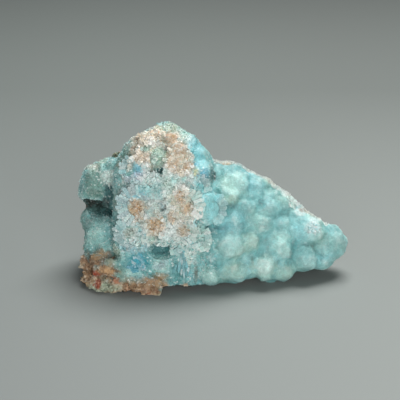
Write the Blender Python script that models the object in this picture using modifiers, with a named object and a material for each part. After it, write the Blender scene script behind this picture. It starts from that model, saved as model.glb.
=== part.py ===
"""A hand specimen of botryoidal hemimorphite, modelled as the one solid that it is.

The stone lies as it does on a table: +Z up, its grape-like face towards -Y, its long side along X.
It is built the way it formed and broke. Fractured blocks make the mass. Botryoids, which are balls
of radiating crystals, grow on the blocks, and some are broken through to flat faces. A voxel remesh
fuses them, hollows are cut, the surfaces get their relief, blades stand in fans round the broken
faces, and the base is cut flat where the stone rests.
"""

import math
import random

import bmesh
import bpy
import numpy as np
from mathutils import Matrix, Vector, noise
from mathutils.bvhtree import BVHTree

MM = 0.001
NAME = "hemimorphite"
CUTTERS = "cutters"
FAR = 100

# Mesh fineness: how often a ball's faces are divided, the voxel in millimetres, the strength and the
# passes of the smoothing, the triangles of the thinned skin, and the angle of an edge that shows sharp.
BALL_DIVISIONS = 3
VOXEL = 0.44
SMOOTHING = 0.5
SMOOTHING_PASSES = 2
BODY_TRIANGLES = 6900
SHARP_ANGLE = 40

# The middle of the finished stone's outline, seen from above, in millimetres.
MIDDLE = (-0.15, 0.42)

# Fractured blocks, each the convex hull of its corners: (x, y, z) in millimetres.
BLOCKS = {
    "knob": [
        (-22, -12, 1.2), (-11, -12.4, 1.2), (-2, -11.6, 1.2), (2, -4, 1.2), (2, 8, 1.2),
        (-10, 12.5, 1.2), (-23.5, 9, 1.2), (-24.5, -2, 1.2), (-24.6, -8, 12), (-22.2, -11.8, 12),
        (-8, -12.4, 14), (-2.4, -11.2, 15), (1, -3, 20), (0, 8, 16), (-12, 12, 18), (-24, 8, 16),
        (-23.9, -4.6, 29), (-19.6, -9.4, 28), (-8, -10.4, 28), (-2.2, -7.4, 28.6), (0.2, 0, 29.6),
        (-3, 7, 27), (-12, 10, 28), (-22.4, 6, 28), (-21.8, -1.6, 33.6), (-19.4, -2, 36.2),
        (-15, -5, 36.4), (-8, -5.4, 35.8), (-4.4, -0.8, 35.2), (-6, 5, 34), (-16, 5, 35),
        (-13.6, -1, 38.4), (-8.6, -0.8, 38.3), (-11, 3.4, 38.2),
    ],
    "wing": [
        (-2, 2.8, 29.2), (4, 3, 28.2), (8, 3, 26.8), (12.6, 2.6, 24.2), (17.4, 2.2, 20.1),
        (21.8, 1.4, 15.5), (26.2, 0.4, 13.4), (29.8, -0.6, 11.6), (-3, -11.9, 1.8), (5, -11, 2.4),
        (12, -9.4, 2.4), (17, -7.6, 2.2), (22, -6.2, 3), (28, -4.4, 4.2), (30.4, -2.8, 6),
        (0, -8.6, 22), (8, -7, 19.4), (16, -4.6, 14.6), (25, -3, 9.4), (-4, 11, 1.2), (6, -4, 1.2),
        (16, -3, 1.2), (10, 9.6, 1.2), (20, 7.4, 1.4), (27, 4.4, 2.8), (30.6, 1.6, 6),
    ],
    "shoulder": [
        (-22, -1, 29.4), (-22, 8, 28.6), (-27, 3, 29), (-30.2, 3, 26.6), (-32, 6, 22),
        (-31.2, 8, 18.6), (-29, 1, 20), (-22, -3, 19), (-22, 12, 18.4), (-28, 11, 20),
    ],
    "flank": [
        (-22, -4, 15), (-22, 12, 18), (-27, -2, 14.4), (-31, 2, 14), (-32, 8, 17), (-31.9, 0.4, 8.6),
        (-30.4, -4, 6), (-25, -7, 10), (-22, -10, 8), (-30, 9, 3), (-22, 13, 1.2), (-30.6, 5, 1.2),
        (-30.6, -4, 1.2), (-22, -8, 1.2), (-29, 11, 16),
    ],
    "foot": [
        (-31.9, -9, 1.6), (-31.7, -8.4, 3.4), (-31, -3.5, 7.4), (-28.4, -12, -0.3), (-23, -13.4, -0.4),
        (-24, -11.4, 8.4), (-12.4, -14.2, -0.2), (-11.2, -13.9, 3.4), (-22, -13.2, 4.6),
        (-28.6, -10.2, 7.4), (-30, 2, 1), (-20, 2, 1),
    ],
    "back spur": [
        (-13, 10, 21), (-3, 5, 24), (6, 4.6, 22), (12, 7, 12), (10, 11.4, 5), (-2, 14.2, 4),
        (-12, 14.6, 6), (-14, 13, 16), (11, 10.4, 1.2), (-2, 13.4, 1.2), (-12, 13.6, 1.2), (0, 2, 1.2),
        (0, 2, 20),
    ],
}

# Botryoids that grow on the blocks, by the side that they face: the place across that side and up it,
# how far the lump spreads round its middle, and how far it bulges, in millimetres.
GROWTHS = {
    "front": [
        # wing, below the broken ridge
        (3.4, 26.6, 3, 1.5), (6.2, 24.6, 4, 2), (10.6, 22.6, 3, 1.5), (13.2, 22.6, 2, 1.2),
        (16, 19.4, 3.6, 1.6), (20.6, 15.4, 2, 1), (23.9, 12.2, 3.6, 2.2), (28.6, 10, 3.2, 1.9),
        # wing, middle rows
        (2.1, 25.4, 1.4, 0.8), (3.6, 21.8, 1.9, 1.2), (12, 19, 2, 1.1), (8, 20, 2.1, 1),
        (8.8, 16.8, 2.3, 1), (4, 16.6, 3, 1.4), (11.6, 14.6, 2.8, 1.4), (16.4, 14.8, 2.4, 1.1),
        (14.2, 17, 1.8, 0.8), (20, 10.8, 2, 1), (9.2, 11.8, 2.4, 1.3), (16.4, 9.4, 3.6, 2),
        (4.4, 10.6, 4.3, 2.2), (19.6, 13, 1.8, 0.9), (7.2, 14, 1.8, 0.9), (13, 11.2, 1.8, 0.9),
        (1.2, 19.2, 1.8, 0.9), (0.2, 12.6, 2, 0.9),
        # wing, bottom row and the right end
        (12.7, 4.6, 3.3, 2.4), (17, 3.8, 2.7, 1.5), (22.9, 6, 3.5, 2.5), (27.6, 5.8, 2.9, 1.9),
        (8.5, 5.6, 2.3, 1.2), (4, 5, 2.9, 1.5), (-0.6, 4, 2.6, 1.3), (-0.4, 8.2, 2.2, 1.1),
        (29.9, 7, 2, 1.4), (19.8, 7.6, 1.8, 0.9), (1.6, 3.4, 1.8, 0.8), (6.4, 3.6, 1.7, 0.7),
        (25.6, 9, 2, 1),
        # knob, its upper right side and the small dome near the top
        (-2.6, 28.6, 2.8, 1.2), (-2.6, 32, 2.6, 1), (-4.6, 34.6, 2, 0.6), (-10.8, 36.6, 2, 1),
        (-16.6, 33.6, 2.2, 0.6),
        # left shoulder and flank
        (-28.8, 23, 4.2, 2.4), (-26, 26.2, 2.6, 1.4), (-24.6, 23.4, 2.4, 1), (-30.8, 20.6, 2, 1),
        (-25, 19.6, 2.4, 1), (-28.6, 11, 3.8, 2.2), (-30.2, 8.2, 2.4, 1.4), (-25.6, 12.8, 2.6, 1.2),
        (-26.6, 9, 2.4, 1), (-24.2, 27.4, 2, 1.2),
    ],
    "left": [
        (7, 22, 2.6, 0.8), (4, 12, 2.8, 1), (8, 9, 2.6, 1.2), (2, 5, 2.2, 0.8),
    ],
    "right": [
        (-2, 8.4, 3.4, 1.6), (1.4, 8, 2.8, 1.2),
    ],
    "back": [
        (29.6, 8.4, 2.4, 1.2), (27, 6.2, 2.8, 1.5), (23, 5, 2.8, 1.4), (24.4, 9.6, 2, 1),
        (18.6, 5.4, 2.2, 1), (20.6, 8.6, 1.8, 0.8), (-27, 7, 2.8, 1.4), (-24, 11, 2.6, 1.3),
        (-29, 12, 2.2, 1), (-20, 5, 2.6, 1.3), (-16, 8.6, 2.2, 1), (-21, 9, 2, 1),
        (-26.6, 24, 2.6, 1.2), (-23, 21, 2.4, 1), (-27.6, 20.4, 2, 0.9), (-24.4, 3.4, 2.2, 1),
        (-15.4, 3.6, 1.9, 0.9),
    ],
}

# Botryoids broken through, on the front: the place of the break (x, z), its radius, how far it stands
# out, its turn to the right and its tilt up in degrees, and where its fan of blades starts and ends.
BREAKS = [
    (-17.7, 21.6, 5, 1.3, -6, 14, 95, 262),
    (-20, 15, 3.6, 1, -10, 8, 110, 230),
    (-13.6, 17.6, 3.6, 1.6, 0, 10, 0, 0),
    (-7.2, 21.8, 4.6, 1.3, 5, 14, -45, 50),
    (-7, 15.8, 3.3, 1.4, 4, 6, -60, 20),
    (-14.4, 25.6, 3.6, 1, 0, 22, 0, 0),
    (-4.2, 25.4, 3.2, 1, 16, 22, -30, 70),
    (-18.8, 29.6, 3.4, 1, -10, 30, 100, 200),
    (-11, 27.2, 3.2, 0.8, 4, 20, 0, 0),
    (-10, 13.2, 3.3, 1.2, 0, -2, 220, 320),
    (-3.9, 13.4, 3.2, 1, 8, 2, -60, 40),
    (-8.2, 31.8, 3.9, 0.8, 10, 34, 0, 0),
    (-15.4, 33.4, 3.4, 0.6, -6, 44, 0, 0),
    (-1.8, 20.2, 4.1, 2.6, 26, 8, -75, 50),
]

# Hollows: (x, y, z), half sizes along X, Y and Z, and the tilt about Y in degrees, in millimetres.
HOLLOWS = [
    (-28.4, 1.4, 16.6, 5, 5, 1.9, 8),
    (-13, -13.4, 10.4, 2.7, 3.4, 1.5, 8),
    (-12.7, -9.8, 29.6, 0.9, 2, 0.9, 0),
    (1.1, -7.4, 25.4, 0.7, 2.6, 2.6, 8),
    (-20.8, 10.6, 22, 2.6, 2.4, 1.7, 24),
    (3, 14, 13, 3.6, 3, 1.8, -28),
]

# Feet that the stone rests on: the middle (x, y) and the radius of each, and how high the middles of
# these flattened balls lie and how far they reach down from there, in millimetres.
FEET = [(-25.5, -7.8, 3.6), (-15, -10.6, 2.6), (14, -4.4, 3.2), (-9, 9.4, 3.8), (6, 6.4, 2.4)]
FOOT_HEIGHT = 1.4
FOOT_DEPTH = 2.6

# Where the crust is missing and the matrix is bare, in millimetres: behind the ridge, low down at the
# left end, along the ledge in front of the knob, and underneath. The crust thins out over EDGE, and
# whatever lies within ON_BALL of a botryoid's ball is part of it.
BARE_BEHIND = 3.4
BARE_END = (-22.5, 7.6)
BARE_LEDGE = (-11.5, 3.8)
BARE_UNDER = 1
EDGE = 1.5
ON_BALL = 0.35

# Relief of the broken matrix: the sizes of its large and small facets, how steeply they lean and how
# high they stand as a share of their size, and the height and size of the lumps that cross them.
FACET_SIZES = (6.5, 2.8)
FACET_LEAN = 0.7
FACET_LIMIT = 0.2
LUMP_HEIGHT = 0.5
LUMP_SIZE = 8

# Relief of the crust: the size and height of its bumps and of its slow swells, in millimetres.
BUMP_SIZE = 2.6
BUMP_HEIGHT = 0.4
SWELL_SIZE = 3
SWELL_HEIGHT = 0.2

# Blades: their spacing round a rim, width, how far they stand above the break and reach behind it,
# in millimetres, their reach from the middle as shares of the break's radius, and their taper.
BLADE_SPACING = 1.2
BLADE_WIDTH = 1.15
BLADE_TOP = 0.3
BLADE_DEPTH = 2.2
BLADE_REACH = (0.52, 1.1)
BLADE_TAPER = 0.86

# How the blades of a fan differ: the swing and the lean in degrees, and the shares of each size.
FAN_SEED = 7
SWING = (-4, 4)
LEAN = (-3, 7)
WIDTH_SHARE = (0.85, 1.25)
REACH_SHARE = (0.95, 1.05)
TOP_SHARE = (0.2, 1.2)


def ray_from(side, across, up):
    """Where a line of sight onto one side starts, and the way it runs."""
    starts = {
        "front": ((across, -FAR, up), (0, 1, 0)),
        "back": ((across, FAR, up), (0, -1, 0)),
        "left": ((-FAR, across, up), (1, 0, 0)),
        "right": ((FAR, across, up), (-1, 0, 0)),
    }
    start, way = starts[side]
    return Vector(start), Vector(way)


def surface_at(tree, side, across, up):
    """The point and the outward normal of the blocks' surface, seen from one side."""
    start, way = ray_from(side, across, up)
    point, normal, _, _ = tree.ray_cast(start, way)
    if normal.dot(way) > 0:
        normal = -normal
    return point, normal


def add_block(mesh, corners):
    """Adds the convex hull of some corners to a bmesh."""
    points = [mesh.verts.new(corner) for corner in corners]
    made = bmesh.ops.convex_hull(mesh, input=points)
    inner = [item for item in made["geom_interior"] if isinstance(item, bmesh.types.BMVert)]
    bmesh.ops.delete(mesh, geom=inner, context="VERTS")


def add_ball(mesh, centre, half_sizes, tilt=0.0):
    """Adds an ellipsoid to a bmesh, tilted about Y by some degrees."""
    place = Matrix.Translation(centre) @ Matrix.Rotation(math.radians(tilt), 4, "Y")
    size = Matrix.Diagonal((*half_sizes, 1))
    bmesh.ops.create_icosphere(mesh, subdivisions=BALL_DIVISIONS, radius=1, matrix=place @ size)


def add_lump(mesh, tree, side, across, up, spread, bulge):
    """Adds a botryoid sunk in the surface, so that it spreads and bulges as asked."""
    point, normal = surface_at(tree, side, across, up)
    radius = (spread * spread + bulge * bulge) / (2 * bulge)
    centre = point + normal * (bulge - radius)
    add_ball(mesh, centre, (radius, radius, radius))
    return centre, radius


def facing(turn, tilt):
    """The frame of a break: its local X runs right, Y up along the face, Z out of it."""
    sideways = Matrix.Rotation(math.radians(turn), 4, "Z")
    return sideways @ Matrix.Rotation(math.radians(90 - tilt), 4, "X")


def add_break(mesh, tree, across, up, radius, stand, turn, tilt):
    """Adds the half of a ball that is left behind its flat break."""
    point, _ = surface_at(tree, "front", across, up)
    place = Matrix.Translation(point) @ facing(turn, tilt)
    half = bmesh.new()
    bmesh.ops.create_icosphere(half, subdivisions=BALL_DIVISIONS, radius=radius)
    everything = half.verts[:] + half.edges[:] + half.faces[:]
    bmesh.ops.bisect_plane(half, geom=everything, plane_no=(0, 0, 1), clear_outer=True)
    bmesh.ops.holes_fill(half, edges=half.edges)
    half.transform(place @ Matrix.Translation((0, 0, stand)))
    copy = bpy.data.meshes.new("break")
    half.to_mesh(copy)
    half.free()
    mesh.from_mesh(copy)
    bpy.data.meshes.remove(copy)


def new_object(name, mesh, collection):
    """Turns a bmesh in millimetres into an object of a collection."""
    bmesh.ops.scale(mesh, vec=(MM, MM, MM), verts=mesh.verts)
    data = bpy.data.meshes.new(name)
    mesh.to_mesh(data)
    mesh.free()
    made = bpy.data.objects.new(name, data)
    bpy.data.collections[collection].objects.link(made)
    return made


def new_cutter(name, mesh):
    """Makes an object that only shapes another one."""
    cutter = new_object(name, mesh, CUTTERS)
    cutter.hide_render = True
    cutter.display_type = "WIRE"
    return cutter


def apply_modifiers(item):
    """Replaces an object's mesh with what its modifiers make of it."""
    graph = bpy.context.evaluated_depsgraph_get()
    finished = bpy.data.meshes.new_from_object(item.evaluated_get(graph))
    item.modifiers.clear()
    item.data = finished


def fuse(item):
    """Makes one closed skin of whatever overlaps in an object."""
    remesh = item.modifiers.new("fuse", "REMESH")
    remesh.mode = "VOXEL"
    remesh.voxel_size = VOXEL * MM
    apply_modifiers(item)


def combine(item, other, operation):
    """Joins another object to this one or cuts it away, and removes the other."""
    boolean = item.modifiers.new(operation.lower(), "BOOLEAN")
    boolean.operation = operation
    boolean.use_self = True
    boolean.object = other
    apply_modifiers(item)
    bpy.data.objects.remove(other)


def make_mass():
    """The fractured blocks and everything that grew on them in one skin, and the balls that grew."""
    mesh = bmesh.new()
    for corners in BLOCKS.values():
        add_block(mesh, corners)
    tree = BVHTree.FromBMesh(mesh)
    balls = [add_lump(mesh, tree, side, *lump) for side, lumps in GROWTHS.items() for lump in lumps]
    for across, up, radius, stand, turn, tilt, _, _ in BREAKS:
        add_break(mesh, tree, across, up, radius, stand, turn, tilt)
    for x, y, radius in FEET:
        add_ball(mesh, (x, y, FOOT_HEIGHT), (radius, radius, FOOT_DEPTH))
    stone = new_object(NAME, mesh, NAME)
    fuse(stone)
    soften = stone.modifiers.new("soften", "SMOOTH")
    soften.factor = SMOOTHING
    soften.iterations = SMOOTHING_PASSES
    apply_modifiers(stone)
    return stone, tree, balls


def carve_hollows(stone):
    """Cuts the vugs, the crevice and the deep hollow of the left side."""
    mesh = bmesh.new()
    for x, y, z, wide, deep, high, tilt in HOLLOWS:
        add_ball(mesh, (x, y, z), (wide, deep, high), tilt)
    combine(stone, new_cutter("hollows", mesh), "DIFFERENCE")


def matrix_share(point, balls):
    """How far a point belongs to the broken matrix, from 0 on the crust and its botryoids to 1."""
    behind = point.y - BARE_BEHIND
    end = min(BARE_END[0] - point.x, BARE_END[1] - point.z)
    ledge = min(BARE_LEDGE[0] - point.x, BARE_LEDGE[1] - point.z)
    under = BARE_UNDER - point.z
    off_ball = min(abs((point - centre).length - radius) for centre, radius in balls) - ON_BALL
    return max(0, min(1, max(behind, end, ledge, under) / EDGE, off_ball / ON_BALL))


def facet(point, size):
    """The height of flat, leaning fracture facets of about this size, in millimetres."""
    middle = noise.voronoi(point / size)[1][0] * size
    lean = Vector([noise.noise(middle * 1.3 + Vector((FAR * axis, 0, 0))) for axis in range(3)])
    limit = FACET_LIMIT * size
    return max(-limit, min(limit, FACET_LEAN * lean.dot(point - middle)))


def matrix_relief(point):
    """Facets, steps and lumps of the broken matrix, in millimetres."""
    lumps = LUMP_HEIGHT * noise.fractal(point / LUMP_SIZE, 1, 2, 2)
    return lumps + sum(facet(point, size) for size in FACET_SIZES)


def crust_relief(point):
    """The low bumps between the larger botryoids, in millimetres."""
    from_middle = noise.voronoi(point / BUMP_SIZE)[0][0]
    return BUMP_HEIGHT * (0.5 - from_middle) + SWELL_HEIGHT * noise.noise(point / SWELL_SIZE)


def roughen(stone, balls):
    """Gives the crust its low bumps, and the broken surfaces their facets and lumps."""
    normals = [normal.vector.copy() for normal in stone.data.vertex_normals]
    moved = []
    for vertex, normal in zip(stone.data.vertices, normals):
        point = vertex.co / MM
        share = matrix_share(point, balls)
        height = share * matrix_relief(point) + (1 - share) * crust_relief(point)
        moved.append(vertex.co + normal * height * MM)
    stone.data.vertices.foreach_set("co", np.array(moved, dtype=np.float32).ravel())
    stone.data.update()
    fuse(stone)


def thin_out(stone, triangles):
    """Reduces the skin to about this many triangles."""
    count = sum(len(face.vertices) - 2 for face in stone.data.polygons)
    decimate = stone.modifiers.new("thin", "DECIMATE")
    decimate.ratio = triangles / count
    apply_modifiers(stone)


def add_blade(mesh, place, start, end, width, top):
    """Adds one flat-faced blade along the local X of its place, wedge-tipped, its foot in the ball."""
    half = width / 2
    corners = []
    for height, reach in ((top, end), (-BLADE_DEPTH, end * BLADE_TAPER)):
        corners += [(start, -half, height), (start, half, height), (reach, 0, height)]
        corners += [(reach - half, -half, height), (reach - half, half, height)]
    add_block(mesh, [place @ Vector(corner) for corner in corners])


def add_fan(mesh, tree, chance, across, up, radius, stand, turn, tilt, first, last):
    """Adds one fan: blades that radiate over the rim of a break."""
    point, _ = surface_at(tree, "front", across, up)
    base = Matrix.Translation(point) @ facing(turn, tilt) @ Matrix.Translation((0, 0, stand))
    count = max(2, round(math.radians(last - first) * radius / BLADE_SPACING))
    for step in range(count):
        angle = math.radians(first + (last - first) * (step + 0.5) / count + chance.uniform(*SWING))
        lean = math.radians(chance.uniform(*LEAN))
        place = base @ Matrix.Rotation(angle, 4, "Z") @ Matrix.Rotation(lean, 4, "Y")
        start = radius * BLADE_REACH[0]
        end = radius * BLADE_REACH[1] * chance.uniform(*REACH_SHARE)
        width = BLADE_WIDTH * chance.uniform(*WIDTH_SHARE)
        add_blade(mesh, place, start, end, width, BLADE_TOP * chance.uniform(*TOP_SHARE))


def add_fans(stone, tree):
    """Stands the fans of blades on the broken botryoids."""
    chance = random.Random(FAN_SEED)
    mesh = bmesh.new()
    for item in BREAKS:
        if item[-1] > item[-2]:
            add_fan(mesh, tree, chance, *item)
    combine(stone, new_cutter("fans", mesh), "UNION")


def cut_base(stone):
    """Cuts the stone flat where it rests."""
    mesh = bmesh.new()
    bmesh.ops.create_cube(mesh, size=FAR, matrix=Matrix.Translation((0, 0, -FAR / 2)))
    combine(stone, new_cutter("table", mesh), "DIFFERENCE")


def centre(stone):
    """Moves the stone so that the middle of its outline from above is at the origin."""
    shift = Matrix.Translation((-MIDDLE[0] * MM, -MIDDLE[1] * MM, 0))
    stone.data.transform(shift)


def finish(stone):
    """Shades the stone, with its edges sharp, and gives it a blue-green, faintly waxy material."""
    stone.data.shade_smooth()
    stone.data.set_sharp_from_angle(angle=math.radians(SHARP_ANGLE))
    material = bpy.data.materials.new("hemimorphite")
    material.use_nodes = True
    shader = material.node_tree.nodes["Principled BSDF"]
    shader.inputs["Base Color"].default_value = (0.36, 0.62, 0.62, 1)
    shader.inputs["Roughness"].default_value = 0.45
    shader.inputs["Metallic"].default_value = 0
    stone.data.materials.clear()
    stone.data.materials.append(material)


def main():
    for item in list(bpy.data.objects):
        bpy.data.objects.remove(item)
    for collection in (NAME, CUTTERS):
        bpy.context.scene.collection.children.link(bpy.data.collections.new(collection))
    stone, tree, balls = make_mass()
    carve_hollows(stone)
    roughen(stone, balls)
    thin_out(stone, BODY_TRIANGLES)
    add_fans(stone, tree)
    cut_base(stone)
    centre(stone)
    finish(stone)


main()
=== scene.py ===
"""Looks of a botryoidal hemimorphite hand specimen: a blue-green crust of fused botryoids over a tan
matrix, with a knob of broken botryoids whose radiating blades show, on a pale studio floor.

The stone is grown again at a finer mesh from the same measures as its solid. Then come the fine
relief, the colours of its surface, and the small crystals that stand on it.
"""

import math
import random

import bmesh
import bpy
import numpy as np
from mathutils import Matrix, Vector, noise
from mathutils.bvhtree import BVHTree


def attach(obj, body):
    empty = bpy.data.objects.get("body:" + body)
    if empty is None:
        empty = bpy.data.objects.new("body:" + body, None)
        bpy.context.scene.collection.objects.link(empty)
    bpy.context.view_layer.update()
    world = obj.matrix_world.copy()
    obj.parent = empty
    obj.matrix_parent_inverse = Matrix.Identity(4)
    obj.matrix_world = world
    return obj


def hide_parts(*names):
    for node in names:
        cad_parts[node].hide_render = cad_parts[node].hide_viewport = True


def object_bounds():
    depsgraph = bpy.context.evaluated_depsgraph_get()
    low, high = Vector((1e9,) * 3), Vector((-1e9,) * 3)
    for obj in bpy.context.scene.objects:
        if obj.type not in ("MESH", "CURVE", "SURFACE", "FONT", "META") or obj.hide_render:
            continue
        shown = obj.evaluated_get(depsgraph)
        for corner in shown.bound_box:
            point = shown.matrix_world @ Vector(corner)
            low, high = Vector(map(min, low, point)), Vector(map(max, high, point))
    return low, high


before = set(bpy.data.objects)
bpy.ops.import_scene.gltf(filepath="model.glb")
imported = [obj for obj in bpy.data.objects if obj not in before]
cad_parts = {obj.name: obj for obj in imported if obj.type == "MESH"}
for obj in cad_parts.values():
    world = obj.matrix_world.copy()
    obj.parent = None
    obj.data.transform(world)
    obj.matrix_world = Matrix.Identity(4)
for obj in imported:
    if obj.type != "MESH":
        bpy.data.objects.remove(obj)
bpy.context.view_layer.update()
NODE = "hemimorphite"
BODY = "root"

# A millimetre in metres, and in millimetres a place beyond the stone, where lines of sight start.
MM = 0.001
FAR = 100

# The middle of the finished stone's outline, seen from above, in millimetres.
MIDDLE = (-0.15, 0.42)

# Fractured blocks, each the convex hull of its corners: (x, y, z) in millimetres.
BLOCKS = {
    "knob": [
        (-22, -12, 1.2), (-11, -12.4, 1.2), (-2, -11.6, 1.2), (2, -4, 1.2), (2, 8, 1.2),
        (-10, 12.5, 1.2), (-23.5, 9, 1.2), (-24.5, -2, 1.2), (-24.6, -8, 12), (-22.2, -11.8, 12),
        (-8, -12.4, 14), (-2.4, -11.2, 15), (1, -3, 20), (0, 8, 16), (-12, 12, 18), (-24, 8, 16),
        (-23.9, -4.6, 29), (-19.6, -9.4, 28), (-8, -10.4, 28), (-2.2, -7.4, 28.6), (0.2, 0, 29.6),
        (-3, 7, 27), (-12, 10, 28), (-22.4, 6, 28), (-21.8, -1.6, 33.6), (-19.4, -2, 36.2),
        (-15, -5, 36.4), (-8, -5.4, 35.8), (-4.4, -0.8, 35.2), (-6, 5, 34), (-16, 5, 35),
        (-13.6, -1, 38.4), (-8.6, -0.8, 38.3), (-11, 3.4, 38.2),
    ],
    "wing": [
        (-2, 2.8, 29.2), (4, 3, 28.2), (8, 3, 26.8), (12.6, 2.6, 24.2), (17.4, 2.2, 20.1),
        (21.8, 1.4, 15.5), (26.2, 0.4, 13.4), (29.8, -0.6, 11.6), (-3, -11.9, 1.8), (5, -11, 2.4),
        (12, -9.4, 2.4), (17, -7.6, 2.2), (22, -6.2, 3), (28, -4.4, 4.2), (30.4, -2.8, 6),
        (0, -8.6, 22), (8, -7, 19.4), (16, -4.6, 14.6), (25, -3, 9.4), (-4, 11, 1.2), (6, -4, 1.2),
        (16, -3, 1.2), (10, 9.6, 1.2), (20, 7.4, 1.4), (27, 4.4, 2.8), (30.6, 1.6, 6),
    ],
    "shoulder": [
        (-22, -1, 29.4), (-22, 8, 28.6), (-27, 3, 29), (-30.2, 3, 26.6), (-32, 6, 22),
        (-31.2, 8, 18.6), (-29, 1, 20), (-22, -3, 19), (-22, 12, 18.4), (-28, 11, 20),
    ],
    "flank": [
        (-22, -4, 15), (-22, 12, 18), (-27, -2, 14.4), (-31, 2, 14), (-32, 8, 17), (-31.9, 0.4, 8.6),
        (-30.4, -4, 6), (-25, -7, 10), (-22, -10, 8), (-30, 9, 3), (-22, 13, 1.2), (-30.6, 5, 1.2),
        (-30.6, -4, 1.2), (-22, -8, 1.2), (-29, 11, 16),
    ],
    "foot": [
        (-31.9, -9, 1.6), (-31.7, -8.4, 3.4), (-31, -3.5, 7.4), (-28.4, -12, -0.3), (-23, -13.4, -0.4),
        (-24, -11.4, 8.4), (-12.4, -14.2, -0.2), (-11.2, -13.9, 3.4), (-22, -13.2, 4.6),
        (-28.6, -10.2, 7.4), (-30, 2, 1), (-20, 2, 1),
    ],
    "back spur": [
        (-13, 10, 21), (-3, 5, 24), (6, 4.6, 22), (12, 7, 12), (10, 11.4, 5), (-2, 14.2, 4),
        (-12, 14.6, 6), (-14, 13, 16), (11, 10.4, 1.2), (-2, 13.4, 1.2), (-12, 13.6, 1.2), (0, 2, 1.2),
        (0, 2, 20),
    ],
}

# Botryoids that grow on the blocks, by the side that they face: the place across that side and up it,
# how far the lump spreads round its middle, and how far it bulges, in millimetres.
GROWTHS = {
    "front": [
        # wing, below the broken ridge
        (3.4, 26.6, 3, 1.5), (6.2, 24.6, 4, 2), (10.6, 22.6, 3, 1.5), (13.2, 22.6, 2, 1.2),
        (16, 19.4, 3.6, 1.6), (20.6, 15.4, 2, 1), (23.9, 12.2, 3.6, 2.2), (28.6, 10, 3.2, 1.9),
        # wing, middle rows
        (2.1, 25.4, 1.4, 0.8), (3.6, 21.8, 1.9, 1.2), (12, 19, 2, 1.1), (8, 20, 2.1, 1),
        (8.8, 16.8, 2.3, 1), (4, 16.6, 3, 1.4), (11.6, 14.6, 2.8, 1.4), (16.4, 14.8, 2.4, 1.1),
        (14.2, 17, 1.8, 0.8), (20, 10.8, 2, 1), (9.2, 11.8, 2.4, 1.3), (16.4, 9.4, 3.6, 2),
        (4.4, 10.6, 4.3, 2.2), (19.6, 13, 1.8, 0.9), (7.2, 14, 1.8, 0.9), (13, 11.2, 1.8, 0.9),
        (1.2, 19.2, 1.8, 0.9), (0.2, 12.6, 2, 0.9),
        # wing, bottom row and the right end
        (12.7, 4.6, 3.3, 2.4), (17, 3.8, 2.7, 1.5), (22.9, 6, 3.5, 2.5), (27.6, 5.8, 2.9, 1.9),
        (8.5, 5.6, 2.3, 1.2), (4, 5, 2.9, 1.5), (-0.6, 4, 2.6, 1.3), (-0.4, 8.2, 2.2, 1.1),
        (29.9, 7, 2, 1.4), (19.8, 7.6, 1.8, 0.9), (1.6, 3.4, 1.8, 0.8), (6.4, 3.6, 1.7, 0.7),
        (25.6, 9, 2, 1),
        # knob, its upper right side and the small dome near the top
        (-2.6, 28.6, 2.8, 1.2), (-2.6, 32, 2.6, 1), (-4.6, 34.6, 2, 0.6), (-10.8, 36.6, 2, 1),
        (-16.6, 33.6, 2.2, 0.6),
        # left shoulder and flank
        (-28.8, 23, 4.2, 2.4), (-26, 26.2, 2.6, 1.4), (-24.6, 23.4, 2.4, 1), (-30.8, 20.6, 2, 1),
        (-25, 19.6, 2.4, 1), (-28.6, 11, 3.8, 2.2), (-30.2, 8.2, 2.4, 1.4), (-25.6, 12.8, 2.6, 1.2),
        (-26.6, 9, 2.4, 1), (-24.2, 27.4, 2, 1.2),
    ],
    "left": [
        (7, 22, 2.6, 0.8), (4, 12, 2.8, 1), (8, 9, 2.6, 1.2), (2, 5, 2.2, 0.8),
    ],
    "right": [
        (-2, 8.4, 3.4, 1.6), (1.4, 8, 2.8, 1.2),
    ],
    "back": [
        (29.6, 8.4, 2.4, 1.2), (27, 6.2, 2.8, 1.5), (23, 5, 2.8, 1.4), (24.4, 9.6, 2, 1),
        (18.6, 5.4, 2.2, 1), (20.6, 8.6, 1.8, 0.8), (-27, 7, 2.8, 1.4), (-24, 11, 2.6, 1.3),
        (-29, 12, 2.2, 1), (-20, 5, 2.6, 1.3), (-16, 8.6, 2.2, 1), (-21, 9, 2, 1),
        (-26.6, 24, 2.6, 1.2), (-23, 21, 2.4, 1), (-27.6, 20.4, 2, 0.9), (-24.4, 3.4, 2.2, 1),
        (-15.4, 3.6, 1.9, 0.9),
    ],
}

# Botryoids broken through, on the front: the place of the break (x, z), its radius, how far it stands
# out, its turn to the right and its tilt up in degrees, and where its fan of blades starts and ends.
BREAKS = [
    (-17.7, 21.6, 5, 1.3, -6, 14, 95, 240), (-20, 15, 3.6, 1, -10, 8, 110, 230),
    (-13.6, 17.6, 3.6, 1.6, 0, 10, 0, 0), (-7.2, 21.8, 4.6, 1.3, 5, 14, -45, 50),
    (-7, 15.8, 3.3, 1.4, 4, 6, -60, 20), (-14.4, 25.6, 3.6, 1, 0, 22, 0, 0),
    (-4.2, 25.4, 3.2, 1, 16, 22, -30, 70), (-18.8, 29.6, 3.4, 1, -10, 30, 100, 200),
    (-11, 27.2, 3.2, 0.8, 4, 20, 0, 0), (-10, 13.2, 3.3, 1.2, 0, -2, 276, 330),
    (-3.9, 13.4, 3.2, 1, 8, 2, -60, 40), (-8.2, 31.8, 3.9, 0.8, 10, 34, 0, 0),
    (-15.4, 33.4, 3.4, 0.6, -6, 44, 0, 0), (-1.8, 20.2, 4.1, 2.6, 26, 8, -75, 50),
]

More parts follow.
